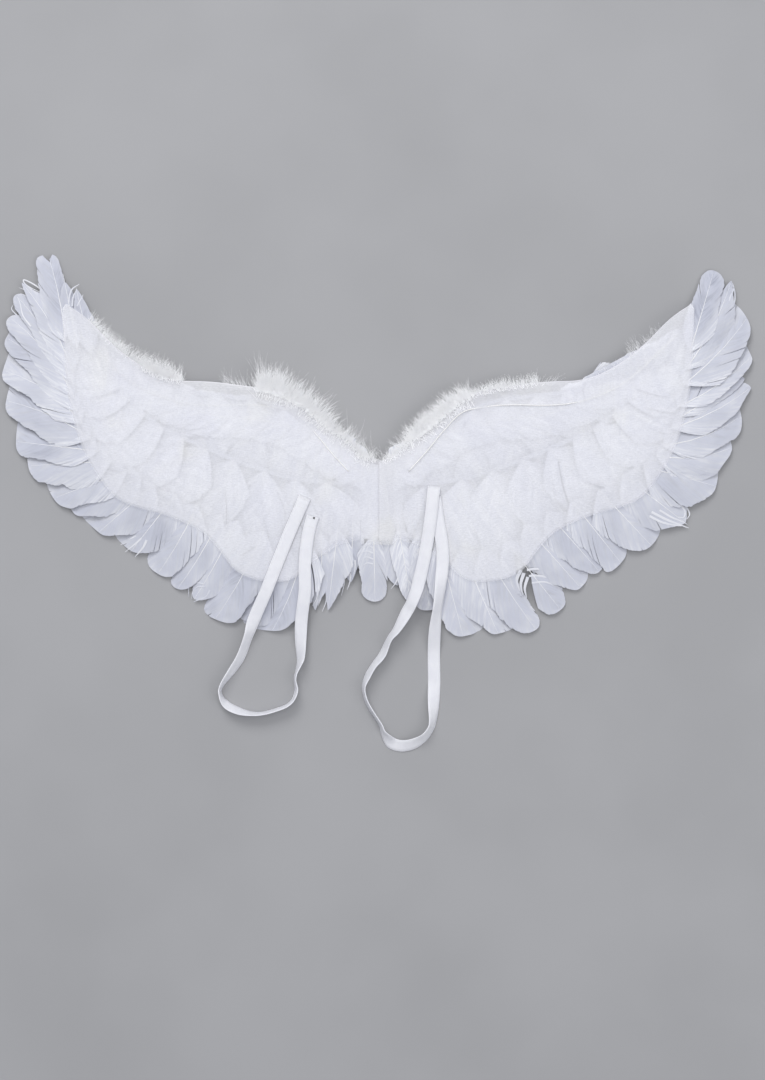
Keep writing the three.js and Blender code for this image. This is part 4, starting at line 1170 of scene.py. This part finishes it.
# Stretches of down: from and to, in millimetres out from the seam, how many strands, their least
# and greatest length, the lean towards the wing's tip from straight out of the edge and its spread
# in degrees, the share of strands that spring from above the cloth, a strand's radius at its root,
# and how many barbules it has. Where all spring from above, they stand in the cloth itself.
DOWN_STRETCHES = {
    "left_down_inner": (
        (3, 34, 46, 14, 34, 38, 12, 0.5, 0.11, 6), (2, 50, 220, 3, 7, 6, 30, 0.5, 0.3, 0),
        (60, 122, 620, 6, 14, 4, 28, 0.5, 0.32, 0), (44, 62, 150, 5, 11, 6, 28, 0.5, 0.24, 0),
        (4, 60, 300, 6, 15, 8, 28, 0.5, 0.13, 10), (44, 66, 130, 9, 22, 4, 24, 0.4, 0.13, 10),
        (62, 120, 720, 11, 26, 2, 22, 0.4, 0.15, 10), (50, 120, 210, 12, 25, 4, 18, 0.4, 0.34, 0),
        (98, 122, 200, 16, 33, -4, 14, 0.3, 0.16, 10), (100, 121, 40, 17, 30, -6, 12, 0.3, 0.32, 0),
        (10, 56, 60, 8, 18, 12, 20, 0.5, 0.28, 0), (48, 121, 640, 10, 20, 2, 20, 1, 0.17, 0),
        (8, 50, 260, 7, 14, 8, 22, 1, 0.15, 0), (60, 118, 60, 24, 34, 2, 16, 0.3, 0.12, 8),
        (114, 118, 8, 34, 42, 18, 4, 0.0, 0.14, 4), (118, 152, 80, 8, 21, 44, 14, 0.0, 0.11, 4),
    ),
    "left_down_outer": (
        (196, 236, 420, 5, 11, 14, 26, 0.1, 0.26, 0), (198, 236, 340, 10, 20, 16, 20, 0.1, 0.15, 10),
        (196, 236, 90, 10, 19, 18, 16, 0.1, 0.3, 0), (238, 288, 90, 7, 15, -8, 18, 0.0, 0.28, 0),
        (204, 224, 170, 13, 23, 14, 14, 0.1, 0.14, 8), (234, 262, 230, 7, 18, -4, 22, 0.0, 0.17, 6),
        (238, 246, 26, 16, 24, -28, 8, 0.0, 0.15, 4), (256, 290, 420, 5, 14, -6, 24, 0.0, 0.2, 5),
    ),
    "right_down_inner": (
        (2, 14, 30, 8, 22, 10, 30, 0.5, 0.1, 6), (3, 40, 180, 3, 6, -4, 30, 0.5, 0.28, 0),
        (34, 84, 520, 6, 14, -4, 26, 0.5, 0.32, 0), (84, 150, 360, 3, 7, -4, 30, 0.4, 0.26, 0),
        (10, 44, 180, 4, 10, -4, 26, 0.5, 0.13, 10), (8, 40, 60, 5, 12, 0, 20, 0.5, 0.28, 0),
        (36, 88, 440, 10, 19, -4, 22, 0.5, 0.15, 10), (30, 92, 230, 10, 20, -8, 18, 0.5, 0.34, 0),
        (18, 92, 600, 9, 18, -4, 20, 1, 0.17, 0), (46, 76, 240, 12, 22, -4, 20, 0.5, 0.14, 10),
        (84, 130, 260, 5, 12, -6, 26, 0.3, 0.14, 10), (88, 160, 120, 6, 13, -14, 18, 0.3, 0.28, 0),
        (118, 162, 170, 6, 15, -4, 20, 0.1, 0.13, 10), (160, 180, 20, 6, 14, 42, 12, 0.0, 0.12, 4),
    ),
    "right_down_outer": (
        (212, 250, 60, 3, 8, 10, 24, 0.0, 0.12, 4), (250, 262, 40, 8, 18, 16, 12, 0.0, 0.14, 4),
        (262, 280, 40, 5, 12, 18, 16, 0.0, 0.12, 4),
    ),
}


def strand_lines(outline, rng, first, last, count, short, long, lean, spread, above):
    """Middle lines of the strands of a stretch, which spring from near the cloth's top edge."""
    out = rng.uniform(first, last, count) * MM
    slope = (outline.high_at(out + MM) - outline.high_at(out - MM)) / (2 * MM)
    normal = unit(np.column_stack([-slope, np.ones(count)]))
    angle = np.arctan2(normal[:, 1], normal[:, 0]) - np.radians(rng.normal(lean, spread, count))
    heading = np.column_stack([np.cos(angle), np.sin(angle)])
    length = (short + (long - short) * rng.random(count) ** 1.6) * MM
    over = rng.random(count) < above
    inset = np.where(over, rng.uniform(*ABOVE_INSET, count), rng.uniform(*BELOW_INSET, count)) * MM
    above_sheet = SHEET_TOP + rng.uniform(*ABOVE_RISE, count) * MM
    root_z = np.where(over, above_sheet, rng.uniform(*BELOW_RISE, count) * MM)
    climb = np.where(over, rng.uniform(*ABOVE_CLIMB, count), rng.uniform(*BELOW_CLIMB, count))
    if above == 1:
        inset = PILE_DEPTH * MM * rng.random(count) ** 1.7
        root_z = SHEET_MIDDLE + rng.uniform(*PILE_RISE, count) * MM
        climb = rng.uniform(*PILE_CLIMB, count)
    start = np.column_stack([out, outline.high_at(out)]) - normal * inset[:, None]
    curl = rng.normal(0, STRAND_CURL, count)[:, None] * square_to(heading)
    share = HAIR_SHARES[:, None]
    course = heading[:, None] * share + curl[:, None] * share ** 2
    plan = start[:, None] + length[:, None, None] * course
    height = root_z[:, None] + (climb * length)[:, None] * HAIR_SHARES * (1.5 - 0.5 * HAIR_SHARES)
    return np.concatenate([plan, np.maximum(height, LEAST_DOWN_HEIGHT)[..., None]], -1)


def round_line(corners, first, second):
    """Corners round a line, in the plane of two directions."""
    part = np.cos(corners)[:, None] * first[..., None, :]
    return part + np.sin(corners)[:, None] * second[..., None, :]


def add_barbules(shape, line, run, level, upright, rng, barbules):
    """Closed three-sided spikes on both sides of the strands."""
    count = len(line)
    at = rng.uniform(*BARBULE_PLACES, (count, barbules)) * LAST_SPAN
    before = np.minimum(at.astype(int), LAST_SPAN - 1)
    rows = np.arange(count)[:, None]
    base = line[rows, before] + (at - before)[..., None] * (line[rows, before + 1] - line[rows, before])
    sign = rng.choice([-1.0, 1.0], (count, barbules))[..., None]
    reach = DOWN_BARBULE_LENGTH * MM * rng.uniform(0.5, 1.1, (count, barbules))
    reach *= 1 - BARBULE_SHORTER * at / LAST_SPAN
    heading = (BARBULE_ALONG * run[rows, before] + BARBULE_OUT * sign * level[rows, before]
               + rng.normal(0, BARBULE_UP, (count, barbules, 1)) * upright[rows, before])
    base = base.reshape(-1, 3)
    tip = base + (reach[..., None] * heading).reshape(-1, 3)
    way = unit(tip - base)
    first = unit(np.cross(way, np.where(np.abs(way[:, 2:]) < 0.9, UP, [1.0, 0, 0])))
    ring = round_line(BARBULE_CORNERS, first, np.cross(way, first))
    points = np.concatenate([base[:, None] + DOWN_BARBULE_RADIUS * MM * ring, tip[:, None]], 1)
    first_corners = np.arange(len(points))[:, None, None] * 4
    faces = first_corners + np.array([[0, 1, 3], [1, 2, 3], [2, 0, 3], [2, 1, 0]])
    shape.add(points, [faces.reshape(-1, 3)], along=0.8)


def down_trim(wing, side, part):
    node = f"{wing}_down_{part}"
    rng = seeded(node)
    shape = Shape("along")
    for *stretch, thickness, barbules in DOWN_STRETCHES[node]:
        line = strand_lines(OUTLINES[side], rng, *stretch)
        line[..., 0] *= side
        run = unit(np.gradient(line, axis=1))
        level = unit(np.cross(UP, run))
        upright = np.cross(run, level)
        radius = thickness * MM * (1 - HAIR_TAPER * HAIR_SHARES[:, None, None])
        rings = line[:, :, None] + radius * round_line(HAIR_CORNERS, level, upright)
        shape.tubes(rings, along=HAIR_SHARES[:, None])
        if barbules:
            add_barbules(shape, line, run, level, upright, rng, barbules)
    return place(shape.make(f"{wing}_marabou_{part}", DOWN), "down", node)


for wing, wing_side in WINGS:
    for part in ("inner", "outer"):
        down_trim(wing, wing_side, part)


# Floor, light and camera

FLOOR = plain_material("pale_floor", (0.38, 0.38, 0.39), 0.85, 4.0)
CAMERA_PLACE = (0.0040, -0.0360)  # the point under the middle of the photo's frame
FRAME_HEIGHT = 1.080  # what the photo's frame takes in at the cloth, from top to bottom
LENS = 85.0
SENSOR = 36.0
CLOTH_HEIGHT = 0.0133


def floor():
    bpy.ops.mesh.primitive_plane_add(size=40)
    ground = bpy.context.object
    ground.name = "floor"
    ground.data.materials.append(FLOOR)


def lamp(name, location, size, power):
    light = bpy.data.lights.new(name, "AREA")
    light.shape = "DISK"
    light.size = size
    light.energy = power
    lamp_object = bpy.data.objects.new(name, light)
    lamp_object.location = location
    lamp_object.rotation_euler = (-Vector(location)).to_track_quat("-Z", "Y").to_euler()
    bpy.context.scene.collection.objects.link(lamp_object)


def camera():
    view = bpy.data.cameras.new("camera")
    view.lens = LENS
    view.sensor_width = SENSOR
    seer = bpy.data.objects.new("camera", view)
    seer.location = (*CAMERA_PLACE, CLOTH_HEIGHT + FRAME_HEIGHT * LENS / SENSOR)
    bpy.context.scene.collection.objects.link(seer)
    bpy.context.scene.camera = seer


def studio():
    floor()
    lamp("key_light", (-0.9, 2.4, 2.3), 2.0, 60)
    lamp("fill_light", (1.9, -0.9, 2.2), 2.0, 18)
    lamp("top_light", (0.0, 0.2, 3.2), 2.4, 32)
    world = bpy.data.worlds.new("studio")
    world.use_nodes = True
    background = world.node_tree.nodes["Background"]
    background.inputs["Color"].default_value = (0.89, 0.92, 1.0, 1.0)
    background.inputs["Strength"].default_value = 0.38
    bpy.context.scene.world = world
    bpy.context.scene.view_settings.view_transform = "Standard"


studio()
camera()
